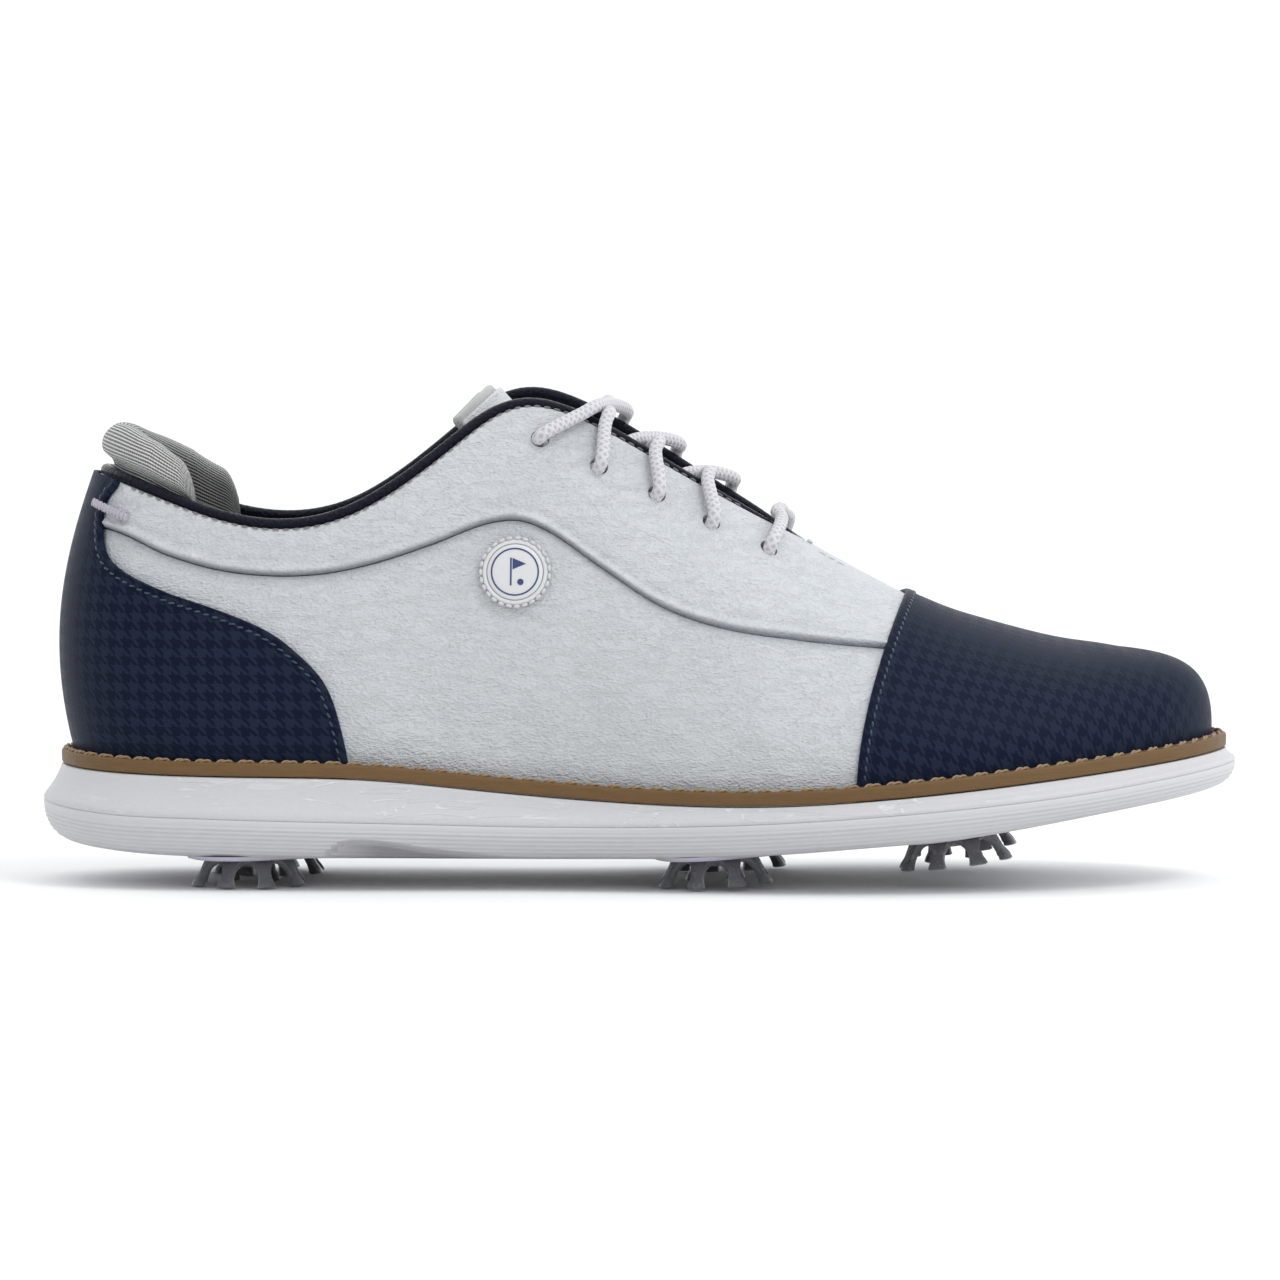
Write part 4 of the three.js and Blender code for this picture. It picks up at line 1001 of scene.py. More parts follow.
def tucked_end(side):
    """Down along the lining, then forward beside the footbed."""
    s, v = EYELET_SPOTS[0, side]
    down = [layer(s - side * 0.1, v * share, UNDER - 0.6) for share in (0.85, 0.65, 0.5, 0.38)]
    forward = [layer(-side * r, 0.3, UNDER - 1.5) for r in (6.6, 7.2, 7.8, 8.4, 9)]
    for p in forward:
        p[2] = footbed_top(p[0]) + LACE_RADIUS + 0.5
    return down + forward


def lace_points():
    lateral, medial = LATERAL, MEDIAL
    return [
        *tucked_end(lateral)[::-1], *through(0, lateral, True),
        *crossing(lateral, -13.8, -4.5, False, 1.2, slant=2), *through(1, medial, False),
        *crossing(lateral, 2.9, 1.5, True, -1.2)[::-1], *through(2, lateral, False),
        *crossing(medial, 20.9, 10.4, True, 1.6)[::-1], *through(3, medial, False),
        *hidden_crossing(medial, 22, 27, -0.8), *through(4, lateral, True),
        *crossing(lateral, 32, 34, False, 1),
        *through(4, medial, False), *hidden_crossing(medial, 29, 20, 2.6), *through(3, lateral, True),
        *crossing(lateral, 14.9, 12.5, True, -1.2), *through(2, medial, True),
        *crossing(medial, 7.9, -2.2, True, 1.6), *through(1, lateral, True),
        *crossing(lateral, -8.6, -9, False, -1.6), *through(0, medial, False), *tucked_end(medial),
    ]


def braid(angle, run):
    """Faint swelling where the strands of the braid cross."""
    return 0.05 * np.cos(2 * np.pi * run / BRAID_PITCH) * np.cos(BRAID_STRANDS * angle)


def make_lace():
    route = smooth_path(lace_points(), 14)
    path = even_path(route, LACE_STEP)
    rings = tube_rings(path, LACE_RADIUS, LACE_SIDES, relief=braid)
    # The first column comes twice, so that the coordinates round the lace never run back.
    rings = np.concatenate([rings, rings[:, :1]], 1)
    columns = LACE_SIDES + 1
    run = np.arange(len(path)) * LACE_STEP
    girth = 2 * np.pi * LACE_RADIUS * np.arange(columns) / LACE_SIDES
    last = (len(path) - 1) * columns
    faces = grid_faces(len(path), columns)
    faces += [tuple(range(LACE_SIDES)), tuple(range(last, last + LACE_SIDES))[::-1]]
    lace = add_piece(
        "lace_braided", (rings.reshape(-1, 3), faces), LACE, ["lace"],
        uv=np.stack(np.meshgrid(run, girth, indexing="ij"), -1), sharp=80,
    )


make_lace()

# ---------------------------------------------------------------- upper skins


def outline(points):
    """A smooth side-view outline through (x, z) points."""
    return smooth_path([(x, 0, z) for x, z in points], 12)[:, ::2]


def height_over(points):
    """A side-view outline as z over x."""
    xs, zs = outline(points).T
    return lambda x: np.interp(x, xs, zs)


def reach_at(points):
    """A side-view outline as x over z."""
    line = outline(points)
    xs, zs = line[np.argsort(line[:, 1])].T
    return lambda z: np.interp(z, zs, xs)


saddle_line = height_over(SADDLE_LINE)


def saddle_v(s):
    """Where rib s meets the saddle line."""

    def above(v):
        p = surface(s, v)
        return p[..., 2] - saddle_line(p[..., 0])

    return bisect(above, 0, 1)


def outline_rib(reach_x, side, v_at, low, high, clearance=0.0):
    """Ribs of one side, between low and high, where rows of the surface pass a side-view outline."""

    def past(r):
        p = surface(side * r, v_at(side * r))
        return p[..., 0] - reach_x(p[..., 2]) - clearance

    return bisect(past, low, high)


# Rib positions where the throat turns, gathered toward its end.
THROAT_TURN = BEND_RIB + (THROAT_RIB - BEND_RIB) * np.sin(np.linspace(0, np.pi / 2, 22))


def saddle_grid(step=0.06, middle=18):
    """Grid of (s, v) over the saddle, close together near its edges, with the distances from both edges."""
    front = np.linspace(THROAT_RIB, LEATHER_END, max(2, int((LEATHER_END - THROAT_RIB) / step) + 1))[1:]
    half = np.concatenate([np.arange(0, BEND_RIB, step), THROAT_TURN, front])
    s = np.concatenate([-half[:0:-1], half])
    low = saddle_v(s)
    length = np.maximum(rib_length(s, (low + 1) / 2)[1] * (1 - low), 1.0)[:, None]
    first = np.minimum(EDGE_STEPS / length, 0.4)
    last = 1 - first[:, ::-1]
    share = np.linspace(0, 1, middle + 2)[1:-1]
    inner = first[:, -1:] + (last[:, :1] - first[:, -1:]) * share
    t = np.concatenate([first, inner, last], 1)
    v = low[:, None] + (1 - low)[:, None] * t
    return np.broadcast_to(s[:, None], v.shape), v, t * length, (1 - t) * length


def add_shell(name, s, v, heights, material, node, ridge=False, uv=None):
    """A sheet between two heights over the surface; a ridge joins its two sides past the throat."""
    open_top = None
    if ridge:
        past = openness(s[:, -1]) < 1e-6
        open_top = ~(past[:-1] & past[1:])
    if uv is not None:
        uv = np.concatenate([uv.reshape(-1, 2)] * 2)
    outer, inner = (layer(s, v, height) for height in heights)
    return add_piece(name, shell(outer, inner, open_top), material, [node], uv=uv)


def punch(piece, radius):
    """Cuts the ten eyelets out of a skin."""
    places = []
    for s, v in EYELET_SPOTS.values():
        places.append((surface(s, v), Vector(surface_normal(s, v)).to_track_quat("Z", "Y").to_matrix()))
    cut_holes(piece, places, radius, depth=12, segments=28)


def painted_shade_uv(share):
    """Coordinates that carry a share of painted shade to the material."""
    return np.stack([share, 0 * share], -1)


def make_saddle():
    s, v, from_low, from_top = saddle_grid()
    foot = QUARTER[0] - 0.35
    outer = foot + (SADDLE[0] - foot) * rounded(from_low / 1.1) + edge_lip(from_low, 0.75)
    share_top = 1 - (1 - rounded(from_top)) * np.minimum(1, 1.5 * openness(s))
    outer = SADDLE[1] + (outer - SADDLE[1]) * share_top
    # Painted shade along the saddle's lower edge, under its rolled lip.
    piece = add_shell(
        "saddle_skin", s, v, (outer, SADDLE[1]), WHITE, "saddle", ridge=True,
        uv=painted_shade_uv(np.exp(-((from_low / 0.8) ** 2))),
    )
    punch(piece, EYELET_RADIUS)


def make_quarters():
    reach_x = reach_at(COUNTER_EDGE)
    share = np.linspace(0, 1, 34)
    for name, side in RIB_SIGNS.items():
        start = outline_rib(reach_x, side, lambda s: share * saddle_v(s), 0.02, 6.0, clearance=GAP)
        s = side * (start + (LEATHER_END - start) * np.linspace(0, 1, 130)[:, None])
        line = saddle_v(s)
        v = share * line
        # The quarter stops just short of the saddle's rolled edge.
        v = v * (1 - SADDLE_GROOVE / np.maximum(rib_length(s, v)[1], 1))
        below = (line - v) * rib_length(s, v)[1]
        # Just below the saddle line the quarter sinks a little and carries painted shade from the saddle's lip.
        sunk = np.exp(-((below / 1.5) ** 2))
        add_shell(
            f"quarter_{name}_skin", s, v, (QUARTER[0] - 0.25 * sunk, QUARTER[1]), WHITE,
            f"quarter_{name}", uv=painted_shade_uv(0.5 * sunk),
        )


def make_lining():
    reach_x = reach_at(LINING_SEAM)
    rows = np.linspace(0, 1, 26)
    lateral, medial = (
        outline_rib(reach_x, side, lambda s: rows, 5.0, 9.0, clearance=-GAP / 2)
        for side in RIB_SIGNS.values()
    )
    t = np.linspace(-1, 1, 241)[:, None]
    s = np.where(t > 0, t * lateral, t * medial)
    v = np.broadcast_to(rows, s.shape)
    piece = add_shell("lining_cloth", s, v, LINING, LINING_CLOTH, "quarter_lining", ridge=True)
    punch(piece, EYELET_RADIUS + 0.2)


def cover_height(distance):
    """Height of a navy cover near its edge: rounded off, with a low lip."""
    return COVER[1] + (COVER[0] - COVER[1]) * rounded(distance) + edge_lip(distance, 0.28)


HEEL_COVER_ROWS = np.linspace(0, 1, 70)


def heel_cover_edge(side):
    """Ribs of the cover's edge on one side, from the feather line up."""
    return outline_rib(reach_at(HEEL_COVER_EDGE), side, lambda s: HEEL_COVER_ROWS, 0.02, 7.0)


def make_heel_cover():
    halves = []
    for side in (-1, 1):
        edge = heel_cover_edge(side)
        length = (edge * rib_length(side * edge * 0.8, HEEL_COVER_ROWS)[0])[:, None]
        near = 1 - np.minimum(EDGE_STEPS / length, 0.5)
        t = np.concatenate([np.linspace(0, 1, 34)[:-1] * near[:, -1:], near[:, ::-1]], 1)
        halves.append(np.stack([side * edge[:, None] * t, (1 - t) * length]))
    s, distance = np.concatenate([halves[0][..., :0:-1], halves[1]], -1).swapaxes(1, 2)
    v = np.broadcast_to(HEEL_COVER_ROWS, s.shape)
    around = distances(surface(s, 0.35))
    around = around - around[np.argmin(np.abs(s[:, 0]))]
    add_shell(
        "heel_cover_skin", s, v, (cover_height(distance), COVER[1]), NAVY, "heel_cover",
        uv=np.stack([around, surface(s, v)[..., 2]], -1),
    )


def cap_uv(p, medial):
    """Cloth coordinates of the cap, from its grid of points: forward from its edge, across from the ridge."""
    girth = distances(p.swapaxes(0, 1)[::-1])[::-1].T
    rib = unit(p[:, 0, :2] - p[:, -1, :2])
    edge = np.where(medial, rib[-1, 0], rib[0, 0])
    forward = np.clip((rib[:, 0] - edge) / (1 - edge), 0, 1)[:, None]
    ridge = distances(p[:, -1])
    ahead = np.where(medial, ridge[-1] - ridge, ridge)[:, None]
    across = girth * np.sqrt(1 - forward**2) * np.where(medial, 1, -1)[:, None]
    return np.stack([ahead + girth * forward, across], -1)


def make_toe_cap():
    near = EDGE_STEPS / rib_length(9.2, 0.6)[0]
    r = CAP_RIB + np.concatenate([near, np.linspace(near[-1], TOE_RIB - CAP_RIB, 76)[1:]])
    s1 = np.concatenate([r, 2 * TOE_RIB - r[-2::-1]])
    v1 = np.concatenate([np.linspace(0, 0.2, 9)[:-1], np.linspace(0.2, 1, 36)])
    s, v = np.meshgrid(s1, v1, indexing="ij")
    from_edge = (np.minimum(s, 2 * TOE_RIB - s) - CAP_RIB) * rib_length(s, v)[0]
    add_shell(
        "toe_cap_skin", s, v, (cover_height(from_edge), COVER[1]), NAVY, "toe_cap",
        ridge=True, uv=cap_uv(surface(s, v), s1 > TOE_RIB),
    )


make_saddle()
make_quarters()
make_lining()
make_heel_cover()
make_toe_cap()

# ---------------------------------------------------------------- binding, pad and tongue


def open_edge(count=560):
    """Even points round the open edge with their normals and the direction away from the leather."""
    half = np.unique(np.round(np.concatenate([np.linspace(0, BEND_RIB, 200), THROAT_TURN]), 6))
    s = np.concatenate([half[::-1], -half[1:-1], half[-1:]])
    edge = layer(s, 1.0, 0.0)
    run = distances(edge)
    at = np.linspace(0, run[-1], count + 1)[:-1]
    even = sample(edge, run, at)
    up = unit(sample(surface_normal(s, 1.0), run, at))
    forward = np.roll(even, -3, 0) - np.roll(even, 3, 0)
    return even, up, unit(np.cross(forward, up))


def smooth_loop(values, rounds):
    for _ in range(rounds):
        values = (np.roll(values, 1, 0) + 2 * values + np.roll(values, -1, 0)) / 4
    return values


def gathers(angle, run):
    """Fine folds of the binding tape, deepest on one side."""
    fold = np.cos(2 * np.pi * run / GATHER_PITCH)
    return 0.07 * fold * (0.5 + 0.5 * np.cos(angle - 2.2)) - 0.03


def make_binding():
    edge, up, away = open_edge()
    depth = (SADDLE[0] + LINING[1]) / 2
    path = smooth_loop(edge + up * depth + away * BINDING_AWAY, 3)
    path = even_path(np.vstack([path, path[:1]]), 0.6)[:-1]
    rings = tube_rings(path, BINDING_RADIUS, 16, closed=True, relief=gathers)
    add_piece("collar_binding_tape", loft(rings, "looped"), BINDING, ["collar_binding"], sharp=80)


def closed_section(points, count):
    dense = smooth_path([(a, 0, b) for a, b in points], 12, closed=True)
    even = even_path(np.vstack([dense, dense[:1]]), 0.25)
    at = np.linspace(0, len(even) - 1, count + 1)[:-1]
    return sample(even, np.arange(len(even)), at)[:, ::2]


def make_heel_pad():
    section = closed_section(PAD_SECTION, PAD_SIDES)
    t = np.linspace(0, 1, PAD_STEPS + 1)
    s = PAD_LATERAL_RIB - (PAD_LATERAL_RIB + PAD_MEDIAL_RIB) * t
    # The section is full in the middle, thinner in the wings, and closes to a point at each tip.
    from_tip = np.minimum(t, 1 - t)
    full = np.minimum(1, 0.6 + 3.2 * from_tip)
    thin = np.stack([full, 0.4 + 0.6 * full], 1)
    tip = rounded(from_tip / 0.045)
    base = np.array([PAD_SECTION[0][0], 0])
    edge = layer(s, 1.0, 0.0)
    out = outward(s)
    run = distances(edge)
    girth = distances(np.vstack([section, section[:1]]))[:-1]
    rings = []
    for i in range(PAD_STEPS + 1):
        core = base + (section.mean(0) - base) * thin[i]
        profile = core + (base + (section - base) * thin[i] - core) * max(tip[i], 0.02)
        puff = 0.18 * np.sin(run[i] * 0.31) * np.sin(girth * 0.23) * tip[i]
        profile = profile + unit(profile - core) * puff[:, None]
        rings.append(edge[i] + np.outer(profile[:, 0], out[i]) + np.outer(profile[:, 1], (0, 0, 1)))
    uv = np.stack(np.meshgrid(run, girth, indexing="ij"), -1)
    pad = add_piece("collar_pad", loft(rings), KNIT, ["heel_pad"], uv=uv, sharp=70)


def tongue_centre(t):
    return np.stack([along(list(enumerate(column)))(t) for column in zip(*TONGUE)], -1)


def tongue_points(t, a, height):
    """Points of the tongue's arch: t along, a across from -1 to 1, height over the upper face."""
    c = tongue_centre(t)
    ahead = tongue_centre(np.minimum(t + 0.05, len(TONGUE) - 1))
    behind = tongue_centre(np.maximum(t - 0.05, 0))
    up = unit(np.stack([ahead[..., 2] - behind[..., 2], 0 * t, behind[..., 0] - ahead[..., 0]], -1))
    radius = c[..., 3]
    angle = a * c[..., 4] / radius
    point = c[..., :3] + up * (radius * (np.cos(angle) - 1) + height * np.cos(angle))[..., None]
    point[..., 1] += (radius + height) * np.sin(angle)
    return point


def tongue_layer(name, top, bottom, round_by, material, node, length, puff=0.0):
    """One layer of the tongue between two heights, with its edges rounded over round_by."""
    t1 = np.concatenate([np.linspace(0, 5.6, 70), 5.6 + 0.4 * np.sin(np.linspace(0, np.pi / 2, 14))[1:]])
    a1 = np.sin(np.linspace(-np.pi / 2, np.pi / 2, 56))
    t, a = np.meshgrid(t1 * length / TONGUE_LENGTH, a1, indexing="ij")
    # The corners of the top end are slightly rounded.
    corner = np.clip((t - length + 0.3) / 0.3, 0, 1)
    a = a * (1 - 0.06 * corner**3)
    swell = rounded(np.minimum((1 - np.abs(a1)) * 20, (TONGUE_LENGTH - t1)[:, None] * 15) / round_by)
    middle = (top + bottom) / 2
    wave = puff * np.sin(t * 2.1) * np.cos(a * 2.3)
    outer = tongue_points(t, a, middle + (top - middle) * swell + wave)
    inner = tongue_points(t, a, middle + (bottom - middle) * swell)
    return add_piece(name, shell(outer, inner), material, [node], body="tongue")


def make_tongue():
    tongue_layer("tongue_face_skin", 0, -1.2, 0.9, WHITE, "tongue_face", 5.76, puff=0.1)
    foam = tongue_layer("tongue_padding", -1.3, -4.3, 1.6, LINING_CLOTH, "tongue_foam", 5.97)
    tongue_layer(
        "tongue_lining_cloth", -4.4, -5.3, 0.7, LINING_CLOTH, "tongue_lining", TONGUE_LENGTH,
    )


make_binding()
make_heel_pad()
make_tongue()

# ---------------------------------------------------------------- sole unit


def sole_stops(count=420):
    """Rib positions all round the sole, evenly spaced along the feather line."""
    s = np.linspace(0, 2 * TOE_RIB, 3000)
    run = distances(np.stack([foot_x(s), foot_y(s)], 1))
    return np.interp(np.linspace(0, run[-1], count + 1)[:-1], run, s)


SOLE = sole_stops()
SOLE_X = foot_x(SOLE)
SOLE_BASE = np.stack([SOLE_X, foot_y(SOLE), 0 * SOLE], 1)
SOLE_OUT = outward(SOLE)


def ring(out, z):
    """A line round the sole, at a distance outside the feather line and a height."""
    p = SOLE_BASE + SOLE_OUT * np.broadcast_to(out, SOLE.shape)[:, None]
    p[:, 2] = z
    return p


def make_welt():
    inside = COVER[0] + GAP
    base = foot_z(SOLE)
    lean = inside + 1.1 * WELT_HEIGHT * bulge(SOLE) / rise(SOLE)
    top = base + WELT_HEIGHT
    wander = 0.06 * np.sin(SOLE * 9.1) + 0.05 * np.sin(SOLE * 23.7 + 1)
    rings = [ring(inside, base + 0.02), ring(WELT_OUT - 0.25, base), ring(WELT_OUT, base + 0.25)]
    for share in np.linspace(0.1, 0.85, 5):
        swell = 0.08 * np.sin(np.pi * share)
        rings.append(ring(WELT_OUT + wander * share + swell, base + WELT_HEIGHT * share))
    # The top is flat, with a shallow channel along the upper.
    rings += [ring(WELT_OUT - inset, top - sunk) for inset, sunk in ((0.12, 0.16), (0.38, 0), (0.9, 0.02))]
    channel = ((1.35, 0.04), (1.0, 0.28), (0.6, 0.3), (0.25, 0.1), (0, 0.05))
    rings += [ring(lean + outset, top - sunk) for outset, sunk in channel]
    add_piece("welt_strip", loft(rings, "looped"), WELT, ["welt"])

    path = ring((lean + WELT_OUT) / 2 + 0.15, top - 0.08)
    path = np.vstack([path, path[:1]])
    up = np.tile([0.0, 0.0, 1.0], (len(path), 1))
    stitches = stitch_row(path, up, length=3.6, gap=1.4, radius=0.52, twist=True, slant=0.25)
    add_stitches("welt_stitching", stitches, TAN_THREAD)


def make_midsole():
    top = foot_z(SOLE) - GAP
    out = shoulder_out(SOLE_X)
    low = shoulder_z(SOLE_X)
    rings = [ring(out - 0.22, low + 0.02), ring(out - 0.06, low + 0.25), ring(out, low + 0.7)]
    for share in np.linspace(0.08, 0.97, 14):
        hollow = -0.5 * np.sin(np.pi * share)
        rings.append(ring(out + (WELT_OUT - out) * share + hollow, low + 1 + (top - low - 1) * share))
    rings += [ring(WELT_OUT - 0.35, top), ring(WELT_OUT - 3, top)]
    add_piece("midsole_wall", loft(rings, "laddered"), FOAM, ["midsole"], sharp=60)


def outsole_profile(count=120):
    """Even steps down the side wall: (inward, share of the height over the bottom)."""
    wall_height = (1, 1, 9)
    even = even_path(smooth_path(OUTSOLE_WALL, 30) * wall_height, 0.05) / wall_height
    return sample(even, np.arange(len(even)), np.linspace(0, len(even) - 1, count))[:, ::2]


def cleat_place(name):
    """A cleat's seat in the outsole and its turn."""
    x, y, tip, lean = CLEATS[name]
    angle = math.radians(lean)
    at = np.array([x - math.sin(angle) * CLEAT_DEPTH, y, tip + math.cos(angle) * CLEAT_DEPTH])
    return at, Matrix.Rotation(-angle, 3, "Y")


def make_outsole():
    out = shoulder_out(SOLE_X)
    high = shoulder_z(SOLE_X) - 0.02
    low = bottom_z(SOLE_X)
    # The waist is scooped out on both sides, under a sharp rim that rises toward the heel.
    rim = low + SCOOP_HEIGHT * np.interp(SOLE_X, *zip(*SCOOP_RIM))
    # Painted shade inside the scooped waist, weaker toward the heel, and in the wall's rib grooves.
    shade = np.clip((SOLE_X + 75) / 16, 0.25, 0.95)
    rings = [ring(out - 5, high), ring(out - 0.22, high), ring(out - 0.06, high - 0.2)]
    painted_wall_shade = [0 * rim] * 3
    for inward, share in outsole_profile():
        z = low + (high - 0.5 - low) * share
        below = high - z
        ribbed = np.clip((below - 0.9) / 0.6, 0, 1) * np.clip(inward / 0.2, 0, 1)
        ribbed = ribbed * np.clip((7 - inward) / 2, 0, 1)
        groove = ribbed * (0.5 - 0.5 * np.cos(2 * np.pi * below / WALL_RIB_PITCH))
        scoop = SCOOP_DEPTH * np.clip((rim - z) / 1.1, 0, 1) * np.clip(1.1 - inward / 9, 0, 1)
        rings.append(ring(out - inward - WALL_RIB_DEPTH * groove - scoop, z))
        hollow = np.clip((rim - z - 0.6) / 1.4, 0, 1) * shade
        painted_wall_shade.append(np.maximum(hollow, WALL_RIB_SHADE * groove))
    rings.append(ring(out - 14, low))
    painted_wall_shade.append(0 * rim)
    piece = add_piece(
        "outsole_shell", loft(rings, "laddered"), RUBBER, ["outsole"],
        uv=painted_shade_uv(np.array(painted_wall_shade)), sharp=40,
    )
    cut_holes(piece, [cleat_place(name) for name in CLEATS], SOCKET_RADIUS + GAP, depth=10.6, segments=40)


make_welt()
make_midsole()
make_outsole()

# ---------------------------------------------------------------- cleats


def leg_mesh(angle):
    """One springy leg: oval sections swept down and out, with a rounded foot."""
    path = smooth_path([(r, 0, z) for r, z, *_ in LEG], 5)
    sections = sample(np.array(LEG)[:, 2:], np.arange(len(LEG)), np.linspace(0, len(LEG) - 1, len(path)))
    c, s = np.cos(circle(LEG_SIDES)), np.sin(circle(LEG_SIDES))
    squared = (c**4 + s**4) ** -0.25
    rings = []
    for point, (width, thick, tilt) in zip(path, sections):
        out = (math.sin(tilt), 0, math.cos(tilt))
        across = np.outer(width / 2 * s * squared, (0, 1, 0))
        rings.append(point + np.outer(thick / 2 * c * squared, out) + across)
    middle = rings[-1].mean(0)
    rings.append(middle + (rings[-1] - middle) * 0.72 + (0, 0, -0.28))
    points, faces = loft(rings)
    points[:, 2] = np.maximum(points[:, 2], 0.02 - CLEAT_DEPTH)
    return points @ np.array(Matrix.Rotation(angle, 3, "Z")).T, faces


def make_cleats():
    legs = [leg_mesh(2 * math.pi * (i + 0.5) / LEG_COUNT) for i in range(LEG_COUNT)]
    points, faces = merge([loft(round_rings(HUB, 48)), *legs])
    for name in CLEATS:
        at, turn = cleat_place(name)
        moulded = (points @ np.array(turn).T + at, faces)
        add_piece(f"cleat_{name}_moulded", moulded, CLEAT, [f"cleat_{name}"], body=f"cleat_{name}")


def make_pods():
    """The thin tinted rings that seat the cleats on the outsole, with three soft corners."""
    rings = round_rings(POD, POD_SIDES)
    wide = [i for i, (radius, _) in enumerate(POD) if radius > 12]
    rings[wide, :, :2] *= 1 + 0.10 * np.cos(3 * circle(POD_SIDES))[:, None]
    points, faces = loft(rings, "looped")
    for name in CLEATS:
        at, turn = cleat_place(name)
        add_piece(f"pod_{name}", (points @ np.array(turn).T + at, faces), POD_PLASTIC)


make_cleats()
make_pods()

# ---------------------------------------------------------------- badge and stitching


def badge_frame():
    """The badge's centre and its axes: across, up and outward."""
    s, v = locate(BADGE_X, BADGE_Z, LATERAL)
    n = surface_normal(s, v)
    across = unit(np.cross((0, 0, 1), n))
    return layer(s, v, 0), np.array([across, np.cross(n, across), n])


def raised(shape, low=1.62, high=1.96):
    """A thin raised piece from a flat outline of (across, up) points."""
    shape = np.array(shape)
    level = np.ones((len(shape), 1))
    return loft([np.hstack([shape, low * level]), np.hstack([shape * (0.97, 0.985), high * level])])


def make_badge():
    centre, axes = badge_frame()
    white = plain("badge_white", (0.60, 0.605, 0.615), (0.68, 0.685, 0.69), rough=0.35, grain=1.5, depth=0.04)
    navy = plain("badge_navy", (0.02, 0.035, 0.12), (0.045, 0.07, 0.2), rough=0.4, grain=1.0, depth=0.04)
    around = circle(24)
    ball = np.array(BALL_CENTRE) + BALL_RADIUS * np.stack([np.cos(around), np.sin(around)], 1)
    motif = merge([raised(shape) for shape in (FLAG_POLE, FLAG_PENNANT, ball)])
    for name, (points, faces), material, nodes in (
        ("badge_rim", loft(round_rings(BADGE_RING, BADGE_SIDES), "looped"), white, ["badge_ring"]),
        ("badge_face", loft(round_rings(BADGE_DISC, BADGE_SIDES)), white, ["badge_disc"]),
        ("badge_line", loft(round_rings(BADGE_LINE, BADGE_SIDES), "looped"), navy, []),
        ("badge_flag_motif", motif, navy, []),
    ):
        add_piece(name, (centre + points @ axes, faces), material, nodes)


def surface_row(name, s, v, height, material, slot, **row):
    """A stitch row along (s, v) points of the upper."""
    add_stitches(name, stitch_row(layer(s, v, height), surface_normal(s, v), **row), material)


def make_cap_stitching():
    v = np.linspace(0.06, 1, 60)
    for name, side in RIB_SIGNS.items():
        r = CAP_RIB + COVER_STITCH_INSET / rib_length(side * 9.1, v)[0]
        surface_row(
            f"cap_stitching_{name}", side * r, v, COVER_STITCH_HEIGHT, BLUE_THREAD, "navy_leather",
            **COVER_STITCH,
        )


def make_heel_cover_stitching():
    keep = (HEEL_COVER_ROWS > 0.05) & (HEEL_COVER_ROWS < 0.97)
    v = HEEL_COVER_ROWS[keep]
    for name, side in RIB_SIGNS.items():
        s = side * heel_cover_edge(side)[keep]
        edge = surface(s, v)
        normal = surface_normal(s, v)
        inward = np.cross(normal, unit(np.gradient(edge, axis=0)))
        # The cover lies to the rear of its edge.
        inward = inward * -np.sign(inward[:, 0].mean())
        path = edge + inward * COVER_STITCH_INSET + normal * COVER_STITCH_HEIGHT
        stitches = stitch_row(path, normal, **COVER_STITCH)
        add_stitches(f"heel_cover_stitching_{name}", stitches, BLUE_THREAD)


def make_collar_stitching():
    edge, up, away = open_edge(1600)
    path = smooth_loop(edge - away * 0.3, 4) + up * (SADDLE[0] + 0.02)
    parts = []
    for side in (LATERAL, MEDIAL):
        row = (edge[:, 0] > -118) & (edge[:, 0] < THROAT_START_X) & (edge[:, 1] * side > 0)
        parts += stitch_row(path[row], up[row], length=1.5, gap=0.9, radius=0.2)
    add_stitches("collar_stitching", parts, TAUPE_THREAD)


def make_badge_stitching():
    centre, axes = badge_frame()
    angle = np.linspace(0, 2 * np.pi, 200)
    spokes = np.stack([np.cos(angle), np.sin(angle), 0 * angle], 1)
    path = centre + (BADGE_STITCH_RADIUS * spokes + (0, 0, 1.15)) @ axes
    stitches = stitch_row(path, np.tile(axes[2], (len(path), 1)), length=1.1, gap=0.7, radius=0.42)
    add_stitches("badge_stitching", stitches, WHITE_THREAD)


def bar_tack(name, s, v, material, height, width, core):
    """A dense bar of thread along (s, v) places, wound over a core."""
    path = even_path(layer(s, v, height), 0.55)
    middle = len(s) // 2
    up = surface_normal(s[middle], v[middle])
    parts = [loft(tube_rings(path, core, 10))]
    for k, (start, end) in enumerate(zip(path, path[1:])):
        run = end - start
        across = unit(np.cross(run, up)) * width / 2 * (0.8 if k % 3 == 1 else 1)
        base = start + up * core * 0.55
        parts.append(stitch(base - across, base + across + run * (0.9 if k % 2 else 0.3), up, 0.32, sink=0.3))
    add_stitches(name, parts, material)


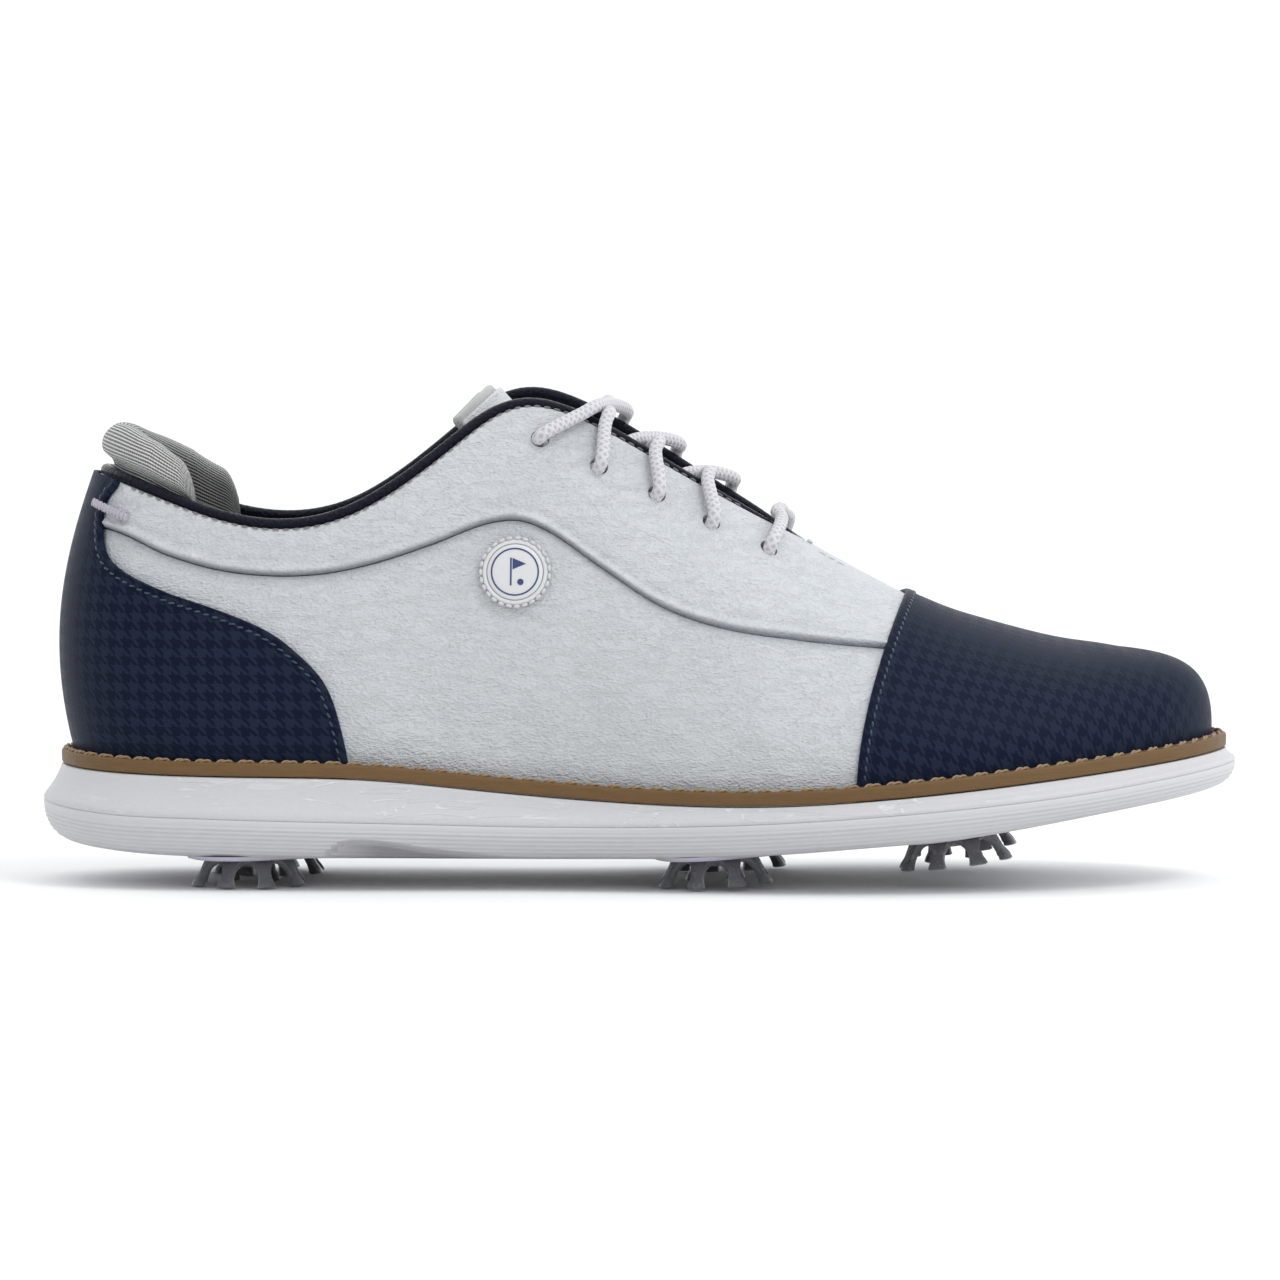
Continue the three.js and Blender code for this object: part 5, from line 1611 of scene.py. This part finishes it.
def make_small_stitches():
    share = np.linspace(0, 1, 9)
    for name, side in (("lateral", LATERAL), ("medial", MEDIAL)):
        start = np.array(locate(-125.3, 88.7, side))
        end = np.array(locate(-118.2, 85.7, side))
        s, v = (start + (end - start) * share[:, None]).T
        # It lies on the heel cover at one end and on the saddle at the other.
        height = SADDLE[0] + 0.5 + (COVER[0] - SADDLE[0] - 0.2) * (1 - share)
        bar_tack(f"heel_tack_{name}", s, v, LILAC_THREAD, height, width=1.9, core=0.7)
    tack, first, last = (float(bisect(lambda r: top_x(r) - x, THROAT_RIB - 0.5, 9)) for x in THROAT_STITCHES)
    v = 1 - 0.035 * np.abs(np.linspace(-1, 1, 9))
    s = tack * np.where(share < 0.5, 1, -1)
    bar_tack("throat_tack", s, v, WHITE_THREAD, SADDLE[0] + 0.05, width=1.0, core=0.3)
    for name, side in RIB_SIGNS.items():
        s = side * np.linspace(first, last, 12)
        surface_row(
            f"throat_stitching_{name}", s, 0.91, SADDLE[0] + 0.02, WHITE_THREAD, "white_leather",
            length=1.5, gap=0.7, radius=0.22, slant=0.35,
        )


make_badge()
make_cap_stitching()
make_heel_cover_stitching()
make_collar_stitching()
make_badge_stitching()
make_small_stitches()

# ---------------------------------------------------------------- CAD nodes that stay


def dress(material, *nodes):
    """Gives CAD nodes that stay visible their finished material."""
    for node in nodes:
        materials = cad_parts[node].data.materials
        materials.clear()
        materials.append(material)


def dress_frame():
    board = plain("board_fibre", (0.30, 0.22, 0.13), (0.42, 0.33, 0.21), rough=0.9, grain=0.5, depth=0.3)
    stiffener = plain("stiffener", (0.52, 0.50, 0.44), (0.62, 0.60, 0.54), rough=0.8, grain=0.6, depth=0.2)
    steel = plain("shank_steel", (0.42, 0.43, 0.45), (0.58, 0.59, 0.61), rough=0.35, grain=0.2, metallic=1.0)
    film = plain("aglet_film", (0.60, 0.62, 0.68), (0.75, 0.77, 0.82), rough=0.2, grain=1.2, depth=0.05)
    socket = plain("socket_plastic", (0.42, 0.38, 0.52), (0.52, 0.48, 0.62), rough=0.4, grain=1.0)
    dress(board, "insole_board")
    dress(footbed_fabric(), "footbed")
    dress(steel, "shank")
    dress(stiffener, "heel_counter", "toe_puff")
    dress(LINING_CLOTH, "vamp_lining")
    dress(film, "aglet_lateral", "aglet_medial")
    dress(socket, *(f"socket_{name}" for name in CLEATS))


dress_frame()

# ---------------------------------------------------------------- floor and light


def make_floor():
    sides = 64
    mesh = bpy.data.meshes.new("floor")
    mesh.from_pydata(round_rings([(FLOOR_RADIUS, 0)], sides)[0].tolist(), [], [tuple(range(sides))])
    floor = bpy.data.objects.new("floor", mesh)
    bpy.context.collection.objects.link(floor)
    mesh.materials.append(
        plain("floor_paper", (0.88, 0.88, 0.88), (0.90, 0.90, 0.90), rough=0.9, grain=0.002, depth=0.0)
    )


def area_light(name, place, aim, size, power):
    data = bpy.data.lights.new(name, "AREA")
    data.shape = "RECTANGLE"
    data.size, data.size_y = size
    data.energy = power
    lamp = bpy.data.objects.new(name, data)
    lamp.location = place
    lamp.rotation_euler = (Vector(aim) - Vector(place)).to_track_quat("-Z", "Y").to_euler()
    bpy.context.collection.objects.link(lamp)


def make_sky():
    """A white studio, bright overhead and behind the shoe, dimmer in front of it and at the heel."""
    world = bpy.data.worlds.new("studio")
    world.use_nodes = True
    tree = world.node_tree
    background = tree.nodes["Background"]
    background.inputs["Color"].default_value = (0.975, 0.99, 1.0, 1)
    toward = tree.nodes.new("ShaderNodeVectorMath")
    toward.operation = "DOT_PRODUCT"
    toward.inputs[1].default_value = SKY_TOWARD
    span = tree.nodes.new("ShaderNodeMapRange")
    span.interpolation_type = "SMOOTHSTEP"
    for key, value in {"From Min": -0.7, "From Max": 0.35, "To Min": SKY * SKY_DIM, "To Max": SKY}.items():
        span.inputs[key].default_value = value
    tree.links.new(tree.nodes.new("ShaderNodeTexCoord").outputs["Generated"], toward.inputs[0])
    tree.links.new(toward.outputs["Value"], span.inputs["Value"])
    tree.links.new(span.outputs[0], background.inputs["Strength"])
    bpy.context.scene.world = world


def make_light():
    area_light("key", (0.7, -0.7, 1.5), (0, 0, 0.05), (0.6, 0.5), KEY_POWER)
    make_sky()
    bpy.context.scene.view_settings.view_transform = "Standard"


make_floor()
make_light()
